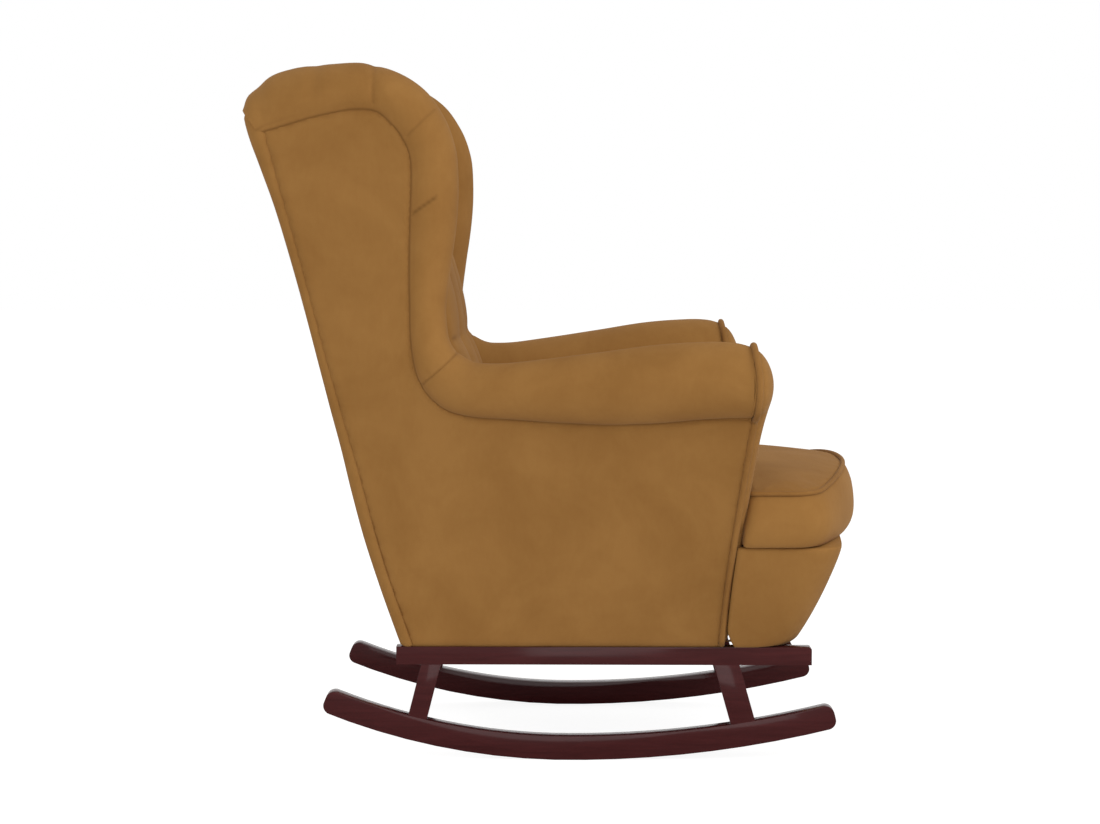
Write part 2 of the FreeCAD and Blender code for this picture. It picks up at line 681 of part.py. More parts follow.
def arm_front_piping():
    """Corded seam on the arm's front edge: up the outside, over the roll and down beside the seat."""
    proud = PIPING_RADIUS + PIPING_PROUD
    foot_x = side_x(ARM_FRONT_FOOT_Y, ARM_BOTTOM_Z) + proud
    seam_x = side_x(ARM_FRONT_TOP_Y, ARM_SEAM_Z)
    crest = crest_z(ARM_FRONT_TOP_Y) - ARM_FRONT_CREST_DROP
    centre = (seam_x, (ARM_SEAM_Z + crest) / 2)
    radius = (crest - ARM_SEAM_Z) / 2 + proud
    outline = [(foot_x, ARM_BOTTOM_Z + 2), (seam_x + proud, ARM_SEAM_Z - PIPING_RADIUS)]
    corner_radius = radius / math.cos(math.radians(PIPING_STEP / 2))
    for index in range(PIPING_CORNERS):
        angle = math.radians(PIPING_START + index * PIPING_STEP)
        outline.append((centre[0] + corner_radius * math.cos(angle),
                        centre[1] + corner_radius * math.sin(angle)))
    tuck_x = side_x(ARM_FRONT_TOP_Y, PIPING_TUCK_Z) - INSIDE_DEPTH - proud
    outline.append((tuck_x, PIPING_TUCK_Z))
    points = [V(x, arm_front_y(z), z) for x, z in outline]
    cuts = []
    for before, corner, after in zip(points[:-2], points[1:-1], points[2:]):
        cuts.append(PIPING_CUT_SHARE * min((corner - before).Length, (after - corner).Length))
    return cord(rounded_path(points, cuts), PIPING_RADIUS)


def wing_roll():
    """Padded roll up the wing's front edge and back over its top to the rear corner."""
    wires = []
    for seam, edge, bulge in WING_STATIONS:
        x = side_x(seam[0], seam[1])

        def place(across, share, seam=seam, edge=edge):
            return V(across, between(share, 0, 1, seam[0], edge[0]), between(share, 0, 1, seam[1], edge[1]))

        inner = x - WING_ROLL_WIDTH
        steps = [
            [(x + bulge, WING_BULGE_SHARE), (x - WING_EDGE_X, 1.0)],
            [(inner + 1, WING_INNER_SHARE), (inner, 0.0)],
        ]
        wires.append(wire_through(place, (x, 0.0), steps))
    return solid_loft(wires)


def bowed_front(half, front_y, corner, bow):
    """Steps from above round one corner, along a bowed front and round the other corner."""
    centre_x = half - corner
    reach = bow - corner
    centre_y = front_y + bow - math.sqrt(reach ** 2 - centre_x ** 2)
    turn = math.asin(centre_x / reach)
    meeting_x = bow * math.sin(turn)
    meeting_y = front_y + bow - bow * math.cos(turn)
    half_corner = (math.pi / 2 - turn) / 2
    middle_x = centre_x + corner * math.cos(half_corner)
    middle_y = centre_y - corner * math.sin(half_corner)
    return [
        [(half, centre_y)],
        [(middle_x, middle_y), (meeting_x, meeting_y)],
        [(0, front_y), (-meeting_x, meeting_y)],
        [(-middle_x, middle_y), (-half, centre_y)],
    ]


def tee_wire(z, width_z, inset):
    """Outline of the T-shaped cushion from above, drawn in from its fullest line by an inset."""
    beyond = max(inset - CUSHION_BOTTOM_INSET, 0)
    step_y = arm_front_y(width_z, 1.0) - BLOCK_GAP
    ear_rear = step_y - CUSHION_EAR_SHARE * beyond
    front_y = CUSHION_FRONT_Y + inset + min(inset, CUSHION_FRONT_DRAW)
    ear = CUSHION_EAR_X - inset
    narrow = INSIDE_DEPTH + CUSHION_SIDE_GAP + beyond
    body_front = side_x(step_y, width_z) - narrow
    body_rear = side_x(CUSHION_REAR_Y, width_z) - narrow
    rear = CUSHION_REAR_Y - CUSHION_REAR_SHARE * beyond
    corner = CUSHION_CORNER * (1 - inset / CUSHION_CORNER_FADE)
    steps = [[(body_front, step_y)], [(ear, ear_rear)]]
    steps += bowed_front(ear, front_y, corner, CUSHION_FRONT_RADIUS)
    steps += [[(-ear, ear_rear)], [(-body_front, step_y)], [(-body_rear, rear)]]
    return wire_through(lambda x, y: V(x, y, z), (body_rear, rear), steps)


def seat_cushion():
    """Crowned seat cushion with drawn-in sides and ears in front of the arms."""
    wires = [tee_wire(z, z, inset) for z, inset in CUSHION_SIDES]
    wires += [tee_wire(z, CUSHION_EDGE_Z, inset) for z, inset in CUSHION_CROWN]
    return solid_loft(wires)


def cushion_piping():
    """Corded seam round the cushion's ears and front, resting against its top edge."""
    z = CUSHION_EDGE_Z + CUSHION_PIPING_RISE
    ear = CUSHION_EAR_X - CUSHION_PIPING_INSET
    front_y = CUSHION_FRONT_Y + CUSHION_FRONT_DRAW + CUSHION_PIPING_INSET
    rear = arm_front_y(z, 1.0) - 2 * BLOCK_GAP
    steps = bowed_front(ear, front_y, CUSHION_CORNER, CUSHION_FRONT_RADIUS)
    steps.append([(-ear, rear)])
    path = Part.Wire(edges_through(lambda x, y: V(x, y, z), (ear, rear), steps))
    return cord(path, PIPING_RADIUS)


def apron_loft(inset, rear_extra, z_levels):
    """Tapering front block below the cushion, with rounded corners seen from above."""
    wires = []
    for z in z_levels:
        half = between(z, RAIL_TOP_Z, CUSHION_BOTTOM_Z, FOOT_HALF_WIDTH, APRON_TOP_HALF_WIDTH) - inset
        front = between(z, RAIL_TOP_Z, CUSHION_BOTTOM_Z, APRON_BOTTOM_FRONT_Y, APRON_TOP_FRONT_Y) + inset
        rear = arm_front_y(z, 1.0) - BLOCK_GAP + rear_extra
        if z == RAIL_TOP_Z:
            front = front + APRON_EDGE_EASE[0]
            rear = rear - APRON_EDGE_EASE[1]
        steps = bowed_front(half, front, APRON_CORNER - inset, APRON_FRONT_RADIUS)
        steps.append([(-half, rear)])
        wires.append(wire_through(lambda x, y, level=z: V(x, y, level), (half, rear), steps))
    return solid_loft(wires, True)


def seat_apron():
    """Padded cover round the front and ends of the seat's front block."""
    top = CUSHION_BOTTOM_Z - SIDE_PIECE_GAP
    shell = apron_loft(0, 0, (RAIL_TOP_Z, RAIL_TOP_Z + APRON_EDGE_HEIGHT, top))
    hollow = apron_loft(APRON_THICKNESS, EXTRA, (RAIL_TOP_Z - 1, top + 1))
    return shell.cut(hollow)


def seat_front_block():
    """Plywood box behind the apron: a curved front with two ends, and a top under the cushion."""
    outer_inset = APRON_THICKNESS + SIDE_PIECE_GAP
    inner_inset = outer_inset + FRONT_BLOCK_BOARD
    bottom = SEAT_RAIL_Z[0]
    outer = apron_loft(outer_inset, 0, (bottom, FRONT_BLOCK_TOP_Z))
    hollow = apron_loft(inner_inset, EXTRA, (bottom - 1, FRONT_BLOCK_TOP_Z - FRONT_BLOCK_BOARD))
    shell = outer.cut(hollow)
    behind = block((-APRON_TOP_HALF_WIDTH, APRON_TOP_HALF_WIDTH), (front_rail_y(), 0),
                   (FRONT_BLOCK_TOP_Z - FRONT_BLOCK_BOARD, FRONT_BLOCK_TOP_Z + 1))
    side_rails = [seat_side_rail(), mirrored(seat_side_rail())]
    for neighbour in side_rails + [behind]:
        shell = shell.cut(neighbour)
    return shell


def wooden_base():
    rails_x = (FOOT_HALF_WIDTH - TIMBER, FOOT_HALF_WIDTH)
    rail_z = (RAIL_TOP_Z - RAIL_HEIGHT, RAIL_TOP_Z)
    runner = rocker()
    rear_post = post(REAR_POST_TOP_Y, REAR_POST_FOOT_Y, REAR_POST_WIDTH, runner)
    front_post = post(FRONT_POST_TOP_Y, FRONT_POST_FOOT_Y, FRONT_POST_WIDTH, runner)
    dowels = post_dowels(REAR_POST_TOP_Y, REAR_POST_FOOT_Y, REAR_POST_WIDTH)
    dowels += post_dowels(FRONT_POST_TOP_Y, FRONT_POST_FOOT_Y, FRONT_POST_WIDTH)
    dowel_group = Part.Compound(dowels)
    cross_dowels = cross_rail_dowels()
    all_dowels = dowels + cross_dowels
    all_dowels = Part.Compound(all_dowels + [mirrored(dowel) for dowel in all_dowels])
    bolts = Part.Compound(rail_bolts())
    rail = block(rails_x, (RAIL_FRONT_Y, RAIL_REAR_Y), rail_z)
    front_top = [edge for edge in rail.Edges
                 if abs(edge.CenterOfMass.y - RAIL_FRONT_Y) < 1 and edge.CenterOfMass.z > RAIL_TOP_Z - 1]
    rail = rail.makeFillet(RAIL_CORNER, front_top)
    rail = rail.cut(all_dowels).cut(Part.Compound(bolt_recesses())).cut(bolts)
    write_pair("rocker", runner.cut(dowel_group))
    write_pair("rear_post", rear_post.cut(dowel_group))
    write_pair("front_post", front_post.cut(dowel_group))
    write_pair("side_rail", rail)
    write("base_dowels", all_dowels)
    write("front_cross_rail", cross_rail(FRONT_CROSS_RAIL_Y).cut(all_dowels))
    write("rear_cross_rail", cross_rail(REAR_CROSS_RAIL_Y).cut(all_dowels))
    both_bolts = rail_bolts() + [mirrored(bolt) for bolt in rail_bolts()]
    write("rail_mounting_bolts", Part.Compound(both_bolts))
    blocks = [packing.cut(bolts) for packing in seat_blocks()]
    write("seat_mounting_blocks", Part.Compound(blocks + [mirrored(packing) for packing in blocks]))
    return bolts


def seat_frame(bolts):
    write_pair("seat_side_rail", seat_side_rail().cut(bolts))
    front_rail = spring_rail(front_rail_y(), FRONT_RAIL_HALF_WIDTH)
    write("seat_front_rail", front_rail)
    write("seat_front_block", seat_front_block().cut(front_rail))
    rear_rail_y = SEAT_RAIL_REAR_Y - TIMBER - REAR_RAIL_SETBACK
    write("seat_rear_rail", spring_rail(rear_rail_y, SEAT_RAIL_HALF_WIDTHS[0]))
    first = front_rail_y() + TIMBER / 2
    last = rear_rail_y + TIMBER / 2
    springs = [zigzag_spring(x, first - SPRING_LOOP_RADIUS, last) for x in spring_xs()]
    write("seat_springs", Part.Compound(springs))
    loops = int((last - first - SPRING_LOOP_RADIUS) / (2 * SPRING_LOOP_RADIUS))
    end = first + loops * 2 * SPRING_LOOP_RADIUS
    clips = [spring_clip(x, y) for x in spring_xs() for y in (first, end)]
    write("spring_clips", Part.Compound(clips))
    deck_bottom = SPRING_RAIL_TOP_Z + 2 * SPRING_WIRE + DECK_SPRING_GAP
    deck_y = (front_rail_y(), DECK_REAR_Y)
    write("seat_deck_pad", block((-DECK_HALF_WIDTH, DECK_HALF_WIDTH), deck_y, (deck_bottom, DECK_TOP_Z)))
    cover_half = FOOT_HALF_WIDTH - TIMBER - 1
    cover = block((-cover_half, cover_half), (ARM_FRONT_FOOT_Y + 1, RAIL_REAR_Y - TIMBER),
                  (RAIL_TOP_Z - DUST_COVER_THICKNESS, RAIL_TOP_Z))
    write("dust_cover", cover)


def back():
    near = BACK_PANEL_THICKNESS + SIDE_PIECE_GAP
    stile_back = near + STILE_DEPTH
    stile = raked_bar(STILE_HALF_WIDTHS, (SEAT_RAIL_Z[1], STILE_TOP_Z), (near, stile_back))
    write_pair("back_stile", stile)
    rail_x = (-STILE_HALF_WIDTHS[0], STILE_HALF_WIDTHS[0])
    depths = (near, near + BACK_RAIL_DEPTH)
    write("back_top_rail", raked_bar(rail_x, (STILE_TOP_Z - BACK_RAIL_HEIGHT, STILE_TOP_Z), depths))
    lumbar = raked_bar(rail_x, (LUMBAR_RAIL_Z, LUMBAR_RAIL_Z + BACK_RAIL_HEIGHT), depths)
    write("back_lumbar_rail", lumbar)
    strap_x = (-STILE_HALF_WIDTHS[1] + 4, STILE_HALF_WIDTHS[1] - 4)
    straps = [raked_bar(strap_x, (z, z + WEBBING_WIDTH), (stile_back, stile_back + WEBBING_THICKNESS))
              for z in WEBBING_ZS]
    write("back_webbing", Part.Compound(straps))
    write("outside_back_panel", outside_back())


def inside_back(edge_roll):
    """Tufted pad between the wings, its buttons and the padded crest above it."""
    sides = side_slab(0, INSIDE_DEPTH + 2 * SIDE_PIECE_GAP)
    pad = tufted(back_pad_section, BACK_PAD_HALF_WIDTH)
    found = Part.Compound(buttons())
    for neighbour in (sides, mirrored(sides), edge_roll, mirrored(edge_roll), found):
        pad = pad.cut(neighbour)
    write("inside_back_pad", pad)
    write("back_buttons", found)
    crest = tufted(top_roll_section, BACK_PAD_HALF_WIDTH)
    for neighbour in (sides, mirrored(sides), edge_roll, mirrored(edge_roll)):
        crest = crest.cut(neighbour)
    write("back_top_roll", crest)


def side_boards():
    """Plywood layers of the arm and of the wing."""
    boards = side_slab(*BOARD_DEPTHS)
    reach = SIDE_TOP_FRONT_X + 2 * EXTRA
    front_foot = (arm_front_y(SEAT_RAIL_Z[1]) + ARM_FRONT_BOARD, SEAT_RAIL_Z[1])
    arm_steps = [[(arm_front_y(ARM_BOARD_TOP_Z) + ARM_FRONT_BOARD, ARM_BOARD_TOP_Z)],
                 [(ARM_BOARD_TOP_REAR_Y, ARM_BOARD_TOP_Z)],
                 [(rear_y(SEAT_RAIL_Z[1]) - ARM_BOARD_REAR_GAP, SEAT_RAIL_Z[1])]]
    arm_board = boards.common(side_view_prism(0, reach, front_foot, arm_steps))
    wing_zone = block((0, reach), (-EXTRA, BACK_TOP_Y), (ARM_BOARD_TOP_Z, SIDE_TOP_Z))
    wing_board = boards.common(side_prism(WING_BOARD_INSET)).common(wing_zone)
    return arm_board, wing_board


def inside_side_pads():
    """Flat padding on the inside of the arm and of the wing."""
    reach = SIDE_TOP_FRONT_X + 2 * EXTRA
    layer = side_slab(BOARD_DEPTHS[1], INSIDE_DEPTH)
    rear_limit = BACK_PANEL_THICKNESS + STILE_DEPTH + WEBBING_THICKNESS + SIDE_PIECE_GAP
    arm_top = ARM_SEAM_Z - SIDE_PIECE_GAP
    front_foot = (arm_front_y(SEAT_RAIL_Z[1]) + ARM_FRONT_BOARD, SEAT_RAIL_Z[1])
    arm_steps = [[(arm_front_y(ARM_SEAM_Z) + ARM_FRONT_BOARD, arm_top)],
                 [(rear_y(ARM_SEAM_Z) - rear_limit, arm_top)],
                 [(rear_y(SEAT_RAIL_Z[1]) - rear_limit, SEAT_RAIL_Z[1])]]
    arm_pad = layer.common(side_view_prism(0, reach, front_foot, arm_steps))
    wing_steps = [[(WING_FRONT_Y, WING_REACH_Z)], [(rear_y(WING_REACH_Z) - rear_limit, WING_REACH_Z)],
                  [(rear_y(WING_PAD_FOOT_Z) - rear_limit, WING_PAD_FOOT_Z)]]
    wing_region = side_view_prism(0, reach, (WING_FRONT_Y, WING_PAD_FOOT_Z), wing_steps)
    wing_pad = layer.common(side_prism(SIDE_PIECE_GAP)).common(wing_region)
    return arm_pad, wing_pad


def sides():
    """Writes both sides of the chair and gives back the wing's roll, which the back is cut by."""
    write_pair("outside_panel", side_slab(0, PANEL_THICKNESS).common(side_prism()))
    arm_board, wing_board = side_boards()
    front_board = arm_front_board()
    write_pair("arm_board", arm_board)
    write_pair("wing_board", wing_board)
    write_pair("arm_front_board", front_board)
    edge_roll = wing_roll().cut(side_prism()).cut(arm_board).cut(outside_back())
    write_pair("wing_roll", edge_roll)
    write_pair("arm_roll", arm_roll().cut(side_prism()).cut(arm_board).cut(front_board).cut(edge_roll))
    arm_pad, wing_pad = inside_side_pads()
    write_pair("inside_arm_pad", arm_pad)
    write_pair("inside_wing_pad", wing_pad)
    write_pair("arm_front_panel", arm_front_panel())
    write_pair("arm_front_piping", arm_front_piping())
    return edge_roll


def seat():
    write("seat_cushion", seat_cushion())
    write("seat_cushion_piping", cushion_piping())
    write("seat_apron", seat_apron())


os.makedirs("parts", exist_ok=True)
base_bolts = wooden_base()
seat_frame(base_bolts)
back()
inside_back(sides())
seat()
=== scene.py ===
import json
import math
import bpy
import bmesh
import numpy as np
from mathutils import Matrix, Vector, noise
from mathutils.geometry import delaunay_2d_cdt


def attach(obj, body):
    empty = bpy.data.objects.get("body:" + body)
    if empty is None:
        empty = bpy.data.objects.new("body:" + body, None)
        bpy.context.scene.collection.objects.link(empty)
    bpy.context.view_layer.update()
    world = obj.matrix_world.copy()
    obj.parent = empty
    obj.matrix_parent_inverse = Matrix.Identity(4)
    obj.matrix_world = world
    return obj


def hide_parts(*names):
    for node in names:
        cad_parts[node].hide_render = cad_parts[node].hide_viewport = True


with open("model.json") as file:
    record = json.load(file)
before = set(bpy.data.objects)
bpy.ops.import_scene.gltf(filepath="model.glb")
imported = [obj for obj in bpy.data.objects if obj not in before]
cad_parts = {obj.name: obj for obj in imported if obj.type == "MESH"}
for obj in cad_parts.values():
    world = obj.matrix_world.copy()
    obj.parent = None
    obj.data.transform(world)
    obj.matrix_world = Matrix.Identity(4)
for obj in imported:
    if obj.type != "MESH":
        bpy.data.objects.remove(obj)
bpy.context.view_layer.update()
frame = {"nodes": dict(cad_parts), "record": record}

# Wing chair on wooden rockers. Shapes are drawn in millimetres as in the construction: X across,
# the front towards -Y, Z up from the floor. at() turns a drawn place into the scene's metres.
MM = 0.001
MIDDLE_SHIFT_Y = 10.5

# Sides
FOOT_HALF_WIDTH = 196.0
RAIL_TOP_Z = 167.0
ARM_SEAM_Z = 505.0
SIDE_TOP_Z = 960.0
ARM_SEAM_REAR_X = 212.0
ARM_SEAM_FRONT_X = 338.0
SIDE_TOP_REAR_X = 220.0
SIDE_TOP_FRONT_X = 328.0
SIDE_FRONT_Y = -290.0
REAR_FOOT_Y = 218.0
REAR_TOP_Y = 437.0
REAR_TOP_Z = 937.0
INSIDE_DEPTH = 55.0

# Side view curves as (z, y): outside of the back, its crease, and the arm's front seam
REAR_CURVE = ((167, 219), (192, 228), (258, 251), (325, 272), (390, 288), (456, 303), (521, 320),
              (629, 346), (714, 368), (800, 393), (863, 415), (905, 430), (937, 437), (960, 435))
CREASE_CURVE = ((167, 203), (300, 246), (450, 285), (589, 323), (750, 364), (911, 407), (960, 418))
FRONT_SEAM_CURVE = ((167, -245), (270, -252.5), (389, -265.5), (477, -275.5), (520, -281),
                    (565, -283), (612, -277))

# Padded band from the arm's front end round the wing to the back corner, one row for each station:
# seam (y, z), crest (y, z), outer swell, crest set-in, share of height at the inner seam
BAND = (
    ((-277, 515), (-277, 612), 50, 12, 0.30),
    ((-250, 514), (-254, 618), 52, 12, 0.30),
    ((-214, 511), (-218, 619.5), 52, 12, 0.30),
    ((-144, 504), (-144, 614), 50, 12, 0.30),
    ((-74, 501), (-74, 603.5), 46, 12, 0.30),
    ((-3, 502.5), (-4, 593), 41, 11, 0.30),
    ((67, 506), (60, 585), 36, 9, 0.28),
    ((118, 509), (96, 583.5), 32, 6, 0.26),
    ((150, 518), (112, 586), 29, 0, 0.22),
    ((174, 538), (126, 593), 25, -6, 0.16),
    ((189, 562), (137, 602), 20, -12, 0.08),
    ((197, 596), (145, 616), 14, -20, 0.0),
    ((200, 631), (149, 638), 11, -25, 0.0),
    ((200, 665), (150, 668), 9, -26, 0.0),
    ((200, 734), (142, 722), 9, -26, 0.0),
    ((198, 797), (132.5, 795), 10, -26, 0.0),
    ((196.5, 857), (132, 862), 10, -27, 0.0),
    ((200.5, 883), (138.5, 899), 10, -27, 0.0),
    ((210, 903), (152, 932), 10, -27, 0.0),
    ((223, 919), (176, 966), 10, -27, 0.0),
    ((245, 937), (213, 991), 10, -27, 0.0),
    ((278, 940), (262, 1006), 9, -27, 0.0),
    ((310, 935), (312, 1005), 9, -27, 0.0),
    ((339, 929), (352, 1002), 8, -27, 0.0),
    ((381, 917), (396, 990), 6, -27, 0.0),
    ((403, 911), (430, 964), 3, -27, 0.0),
    ((415, 907), (440, 941), 2, -27, 0.0),
)
MITRE_ROW = 9.6
WING_START_ROW = 8.4
MITRE_LAP = 0.05
ARM_FADE_LEAD = 3.0
ARM_FADE_ROWS = 5.0
ROLL_WIDTH = 60.0
SWELL_HEIGHT = 0.47
ARM_INNER_SET_IN = 38.0
ARM_INNER_HEIGHT = 0.79
WING_INNER_SET_IN = 56.0
WING_INNER_HEIGHT = 0.62
BASE_DEPTH = 8.0
ARM_BASE_DEPTH = 6.0
BASE_EASE = 2.0
SEAM_TUCK = 5.0
OUTER_POINTS = 44
INNER_POINTS = 18
BASE_POINTS = 8
TUCK_POINTS = 3
ROLL_POINTS = OUTER_POINTS + INNER_POINTS
ARM_RINGS = 160
WING_RINGS = 250
ARM_SEAM_POINTS = 80
WING_SEAM_POINTS = 200
ARM_CREASE_OUT = 6.0
ARM_CREASE_UP = 8.0
WING_CREASE_OUT = 2.0
WING_CREASE_SHARE = 0.12

# Sewn pleats of the wing's roll, from the side as (y, z) ends, with width, depth and strength of painted
# shade
WING_PLEATS = (
    ((249, 1008), (249, 949), 3.0, 1.2, 0.22),
    ((200.6, 903), (163, 939), 2.6, 1.0, 0.25),
    ((194, 795), (161, 817), 3.0, 1.4, 0.6),
)
WING_SCALLOPS = (((249, 1012), (249, 960)), ((333, 1008), (335, 965)), ((420, 985), (410, 940)))
SCALLOP_WIDTH = 12.0
SCALLOP_DEPTH = 2.4

# Outside panels of the sides
OUTSIDE_OVERLAP = 2.0
OUTSIDE_FRONT_TOP_Z = 515.0
OUTSIDE_REAR_TOP_Z = 905.0
OUTSIDE_FIRST_ROW = 0.3
OUTSIDE_FRONT_POINTS = 24
OUTSIDE_SEAM_POINTS = 110
OUTSIDE_REAR_POINTS = 40

# Arm fronts and their cords
ARM_FRONT_Y = -277.0
ARM_FRONT_FOOT_Y = -245.0
ARM_FOOT_INNER_IN = 6.0
ARM_FOOT_INNER_UP = 3.0
ARM_FOOT_BASE_IN = 10.0
ARM_FOOT_OUTER_IN = 5.0
ARM_FOOT_OUTER_UP = 4.0
ARM_INNER_EDGE_POINTS = 30
ARM_FOOT_POINTS = 6
ARM_OUTER_EDGE_POINTS = 34
ARM_CORD_RADIUS = 4.6
ARM_CORD_OUT = 2.5
ARM_CORD_PROUD = 1.0
ARM_CORD_END_UP = 20.0
ARM_ROLL_MIDDLE_Z = 560.0

# Pads inside the arms and wings
INSIDE_ARM_BOTTOM_Z = 300.0
INSIDE_ARM_TOP_Z = ARM_SEAM_Z + 18.0
INSIDE_ARM_FRONT_GAP = 3.0
INSIDE_ARM_RISE_Y = 150.0
INSIDE_ARM_RISE = 40.0
INSIDE_ARM_REAR_Y = 215.0
INSIDE_ARM_POINTS = 12
INSIDE_ARM_RISE_POINTS = 8
INSIDE_WING_ROWS = (8.0, 22.0)
INSIDE_WING_INSET = 6.0
INSIDE_WING_TOP_Z = 925.0
INSIDE_WING_BOTTOM_Z = 520.0
INSIDE_WING_BACK_LAP = 70.0
INSIDE_WING_SEAM_POINTS = 60
INSIDE_WING_REAR_POINTS = 20

# Outside back
OUTSIDE_BACK_TOP_Z = 938.0
OUTSIDE_BACK_ROUNDING = 11.0
OUTSIDE_BACK_OVERHANG = 1.5
OUTSIDE_BACK_FOOT = 3.0
OUTSIDE_BACK_STRAIGHT = 8.0
OUTSIDE_BACK_LAP = 1.0
OUTSIDE_BACK_CORNER = 0.9
OUTSIDE_BACK_CORNER_MIDDLE = (0.12, 0.25)
OUTSIDE_BACK_LEVELS = 104
OUTSIDE_BACK_EDGE_START = 0.15
OUTSIDE_BACK_EDGE_POINTS = 8
OUTSIDE_BACK_REAR_POINTS = 60
OUTSIDE_BACK_INNER_POINTS = 30

# Inside back, sewn down along its button rows and columns
BACK_PAD_HALF_WIDTH = 190.0
BACK_PAD_BOTTOM_Z = 335.0
BACK_PAD_TOP_Z = 940.0
BACK_PAD_SIDE_LAP = 2.0
BACK_PAD_SIDE_DEPTH = 20.0
BACK_PAD_EDGE_POINTS = 40
BUTTON_ROWS_Z = (615.0, 755.0, 885.0)
BUTTON_COLUMN_X = 62.0
BUTTON_PROFILE = ((8.5, 0), (11, 2.5), (11.4, 4.5), (10.2, 7), (7.5, 8.6), (4, 9.4), (1, 9.6))
BUTTON_SINK = 2.0
BUTTON_SIDES = 24
BUTTON_HOLD = 8.0
SEWN_HALF_WIDTH = 3.2
SEWN_FOOT_Z = 500.0
CELL_SHARE = 0.62
CELL_FULLNESS = 0.5
DOME_SHARE = 0.5
DOME_FULLNESS = 0.6
CHANNEL_PROUD = 8.0
BACK_HELD_DEPTH = 12.0
BACK_MOST_BLOWN = 24.0
BACK_FACE_CURVE = ((330, 122), (440, 122), (500, 126), (560, 135), (615, 149), (690, 167), (755, 181),
                   (820, 196), (885, 216), (930, 235), (955, 246))

# Crest over the back, as (y, z) points of its section
CREST_FRONT = (238, 934)
CREST_FRONT_SWELL = (252, 978)
CREST_MIDDLE = (300, 992)
CREST_TOP = (352, 997)
CREST_REAR = (404, 978)
CREST_REAR_SWELL = (428, 958)
CREST_FOOT = (435, 930)
CREST_LIFT = 6.0
CREST_HALF_WIDTH = 192.0
CREST_RINGS = 97
CREST_GATHER_WIDTH = 9.0
CREST_GATHER_DEPTH = 0.45
CREST_TOP_POINTS = 14
CREST_REAR_POINTS = 10
CREST_BASE_POINTS = 16

# Seat
PIPING_RADIUS = 3.6
CUSHION_BOTTOM_Z = 322.0
CUSHION_EDGE_Z = 400.0
CUSHION_FRONT_Y = -457.0
CUSHION_FRONT_DRAW = 9.0
CUSHION_REAR_Y = 100.0
CUSHION_EAR_X = 276.0
CUSHION_EAR_ROUNDING = 10.0
CUSHION_CORNER = 50.0
CUSHION_FRONT_RADIUS = 560.0
CUSHION_FRONT_RISE = 24.0
CUSHION_RISE_HALF_WIDTH = 270.0
CUSHION_RISE_DEPTH = 110.0
CUSHION_SIDES = ((322, 10), (326, 6.5), (332, 4), (343, 1), (358, 0), (370, 0.5), (382, 2), (391, 4.5),
                 (397, 7), (400, 9))
CUSHION_RISE_FLATNESS = 4
CUSHION_FULLEST_Z = 358.0
CUSHION_START_CROWN = 35.0
CUSHION_FULLNESS = 0.42
CUSHION_EAR_GAP = 12.0
CUSHION_SIDE_GAP = 2.0
CUSHION_SIDE_POINTS = 50
CUSHION_STEP_POINTS = 6
CUSHION_EAR_POINTS = 4
CUSHION_EAR_SIDE_POINTS = 8
CUSHION_REAR_POINTS = 40
CUSHION_RIM_HELD = 2.0
CUSHION_FOOT_HELD = 4.0
CUSHION_MOST_BLOWN = 22.0
CUSHION_CORD_INSET = 9.0
CUSHION_CORD_RISE = 1.0
CUSHION_CORD_END = 2.0
CORNER_POINTS = 18
BOW_POINTS = 36
APRON_BOTTOM_FRONT_Y = -358.0
APRON_TOP_FRONT_Y = -428.0
APRON_TOP_HALF_WIDTH = 258.0
APRON_CORNER = 50.0
APRON_FRONT_RADIUS = 2000.0
APRON_EDGE = 13.0
APRON_FOOT_EASE = 14.0
APRON_FOOT_TOP_Z = 202.0
APRON_SWELL = 8.0
APRON_COVER = 42.0
APRON_TOP_GAP = 0.4
APRON_REAR_GAP = 7.0
APRON_SIDE_POINTS = 16
APRON_EDGE_LEVELS = 8
APRON_LEVELS = 32
APRON_LEVEL_GAP = 6.0

# Wooden base
TIMBER_EASE = 1.5
TIMBER_FLAT_DEGREES = 0.5
TIMBER_CORNER_DEGREES = 40.0
TIMBER_SMOOTH_DEGREES = 32.0
EASED_NODES = ("rocker", "rear_post", "front_post", "side_rail")
EASED_CROSS_NODES = ("front_cross_rail", "rear_cross_rail")

# Cloth and its seams
SPACING = 7.0
ARM_FRONT_SPACING = 4.5
BACK_PAD_SPACING = 6.0
INNER_PAD_SPACING = 8.0
ROW_PITCH = 0.866
RIM_CLEARANCE = 0.55
RIM_HELD = 0.3
LEAST_RIM_POINTS = 12
MEMBRANE_STEPS = 600
MEMBRANE_CLOSE = 1e-6
# How narrow the painted shade is beside a pressed groove
SHADE_SHARPNESS = 1.4
OUTER_SIDE_FADE = 3.0
NOISE_STRIDE = (7.31, 3.17, 1.93)
CORD_SIDES = 14
NEARLY_ALONG = 0.2
VOXEL = 6.0
PRESSURE = 4.0
CLOTH_QUALITY = 6
LAST_FRAME = 20

# Measures in metres for merging points and for lengths taken as none
MERGE_DISTANCE = 0.00002
FAR_AWAY = 1e9
NO_LENGTH = 1e-9
NO_AREA = 1e-12
TRIANGLE_TOLERANCE = 1e-6

# Finishes
BROAD_SHARE = 0.88
STREAK_SHARE = 0.12
STREAK_SCALE = 160.0
STREAK_STRETCH = (1.0, 1.0, 0.35)
PATCH_SIZE = 9.0
NAP_SIZE = 900.0
GRAIN_STRETCH = (1.0, 0.08, 1.0)
GRAIN_SCALE = 120.0

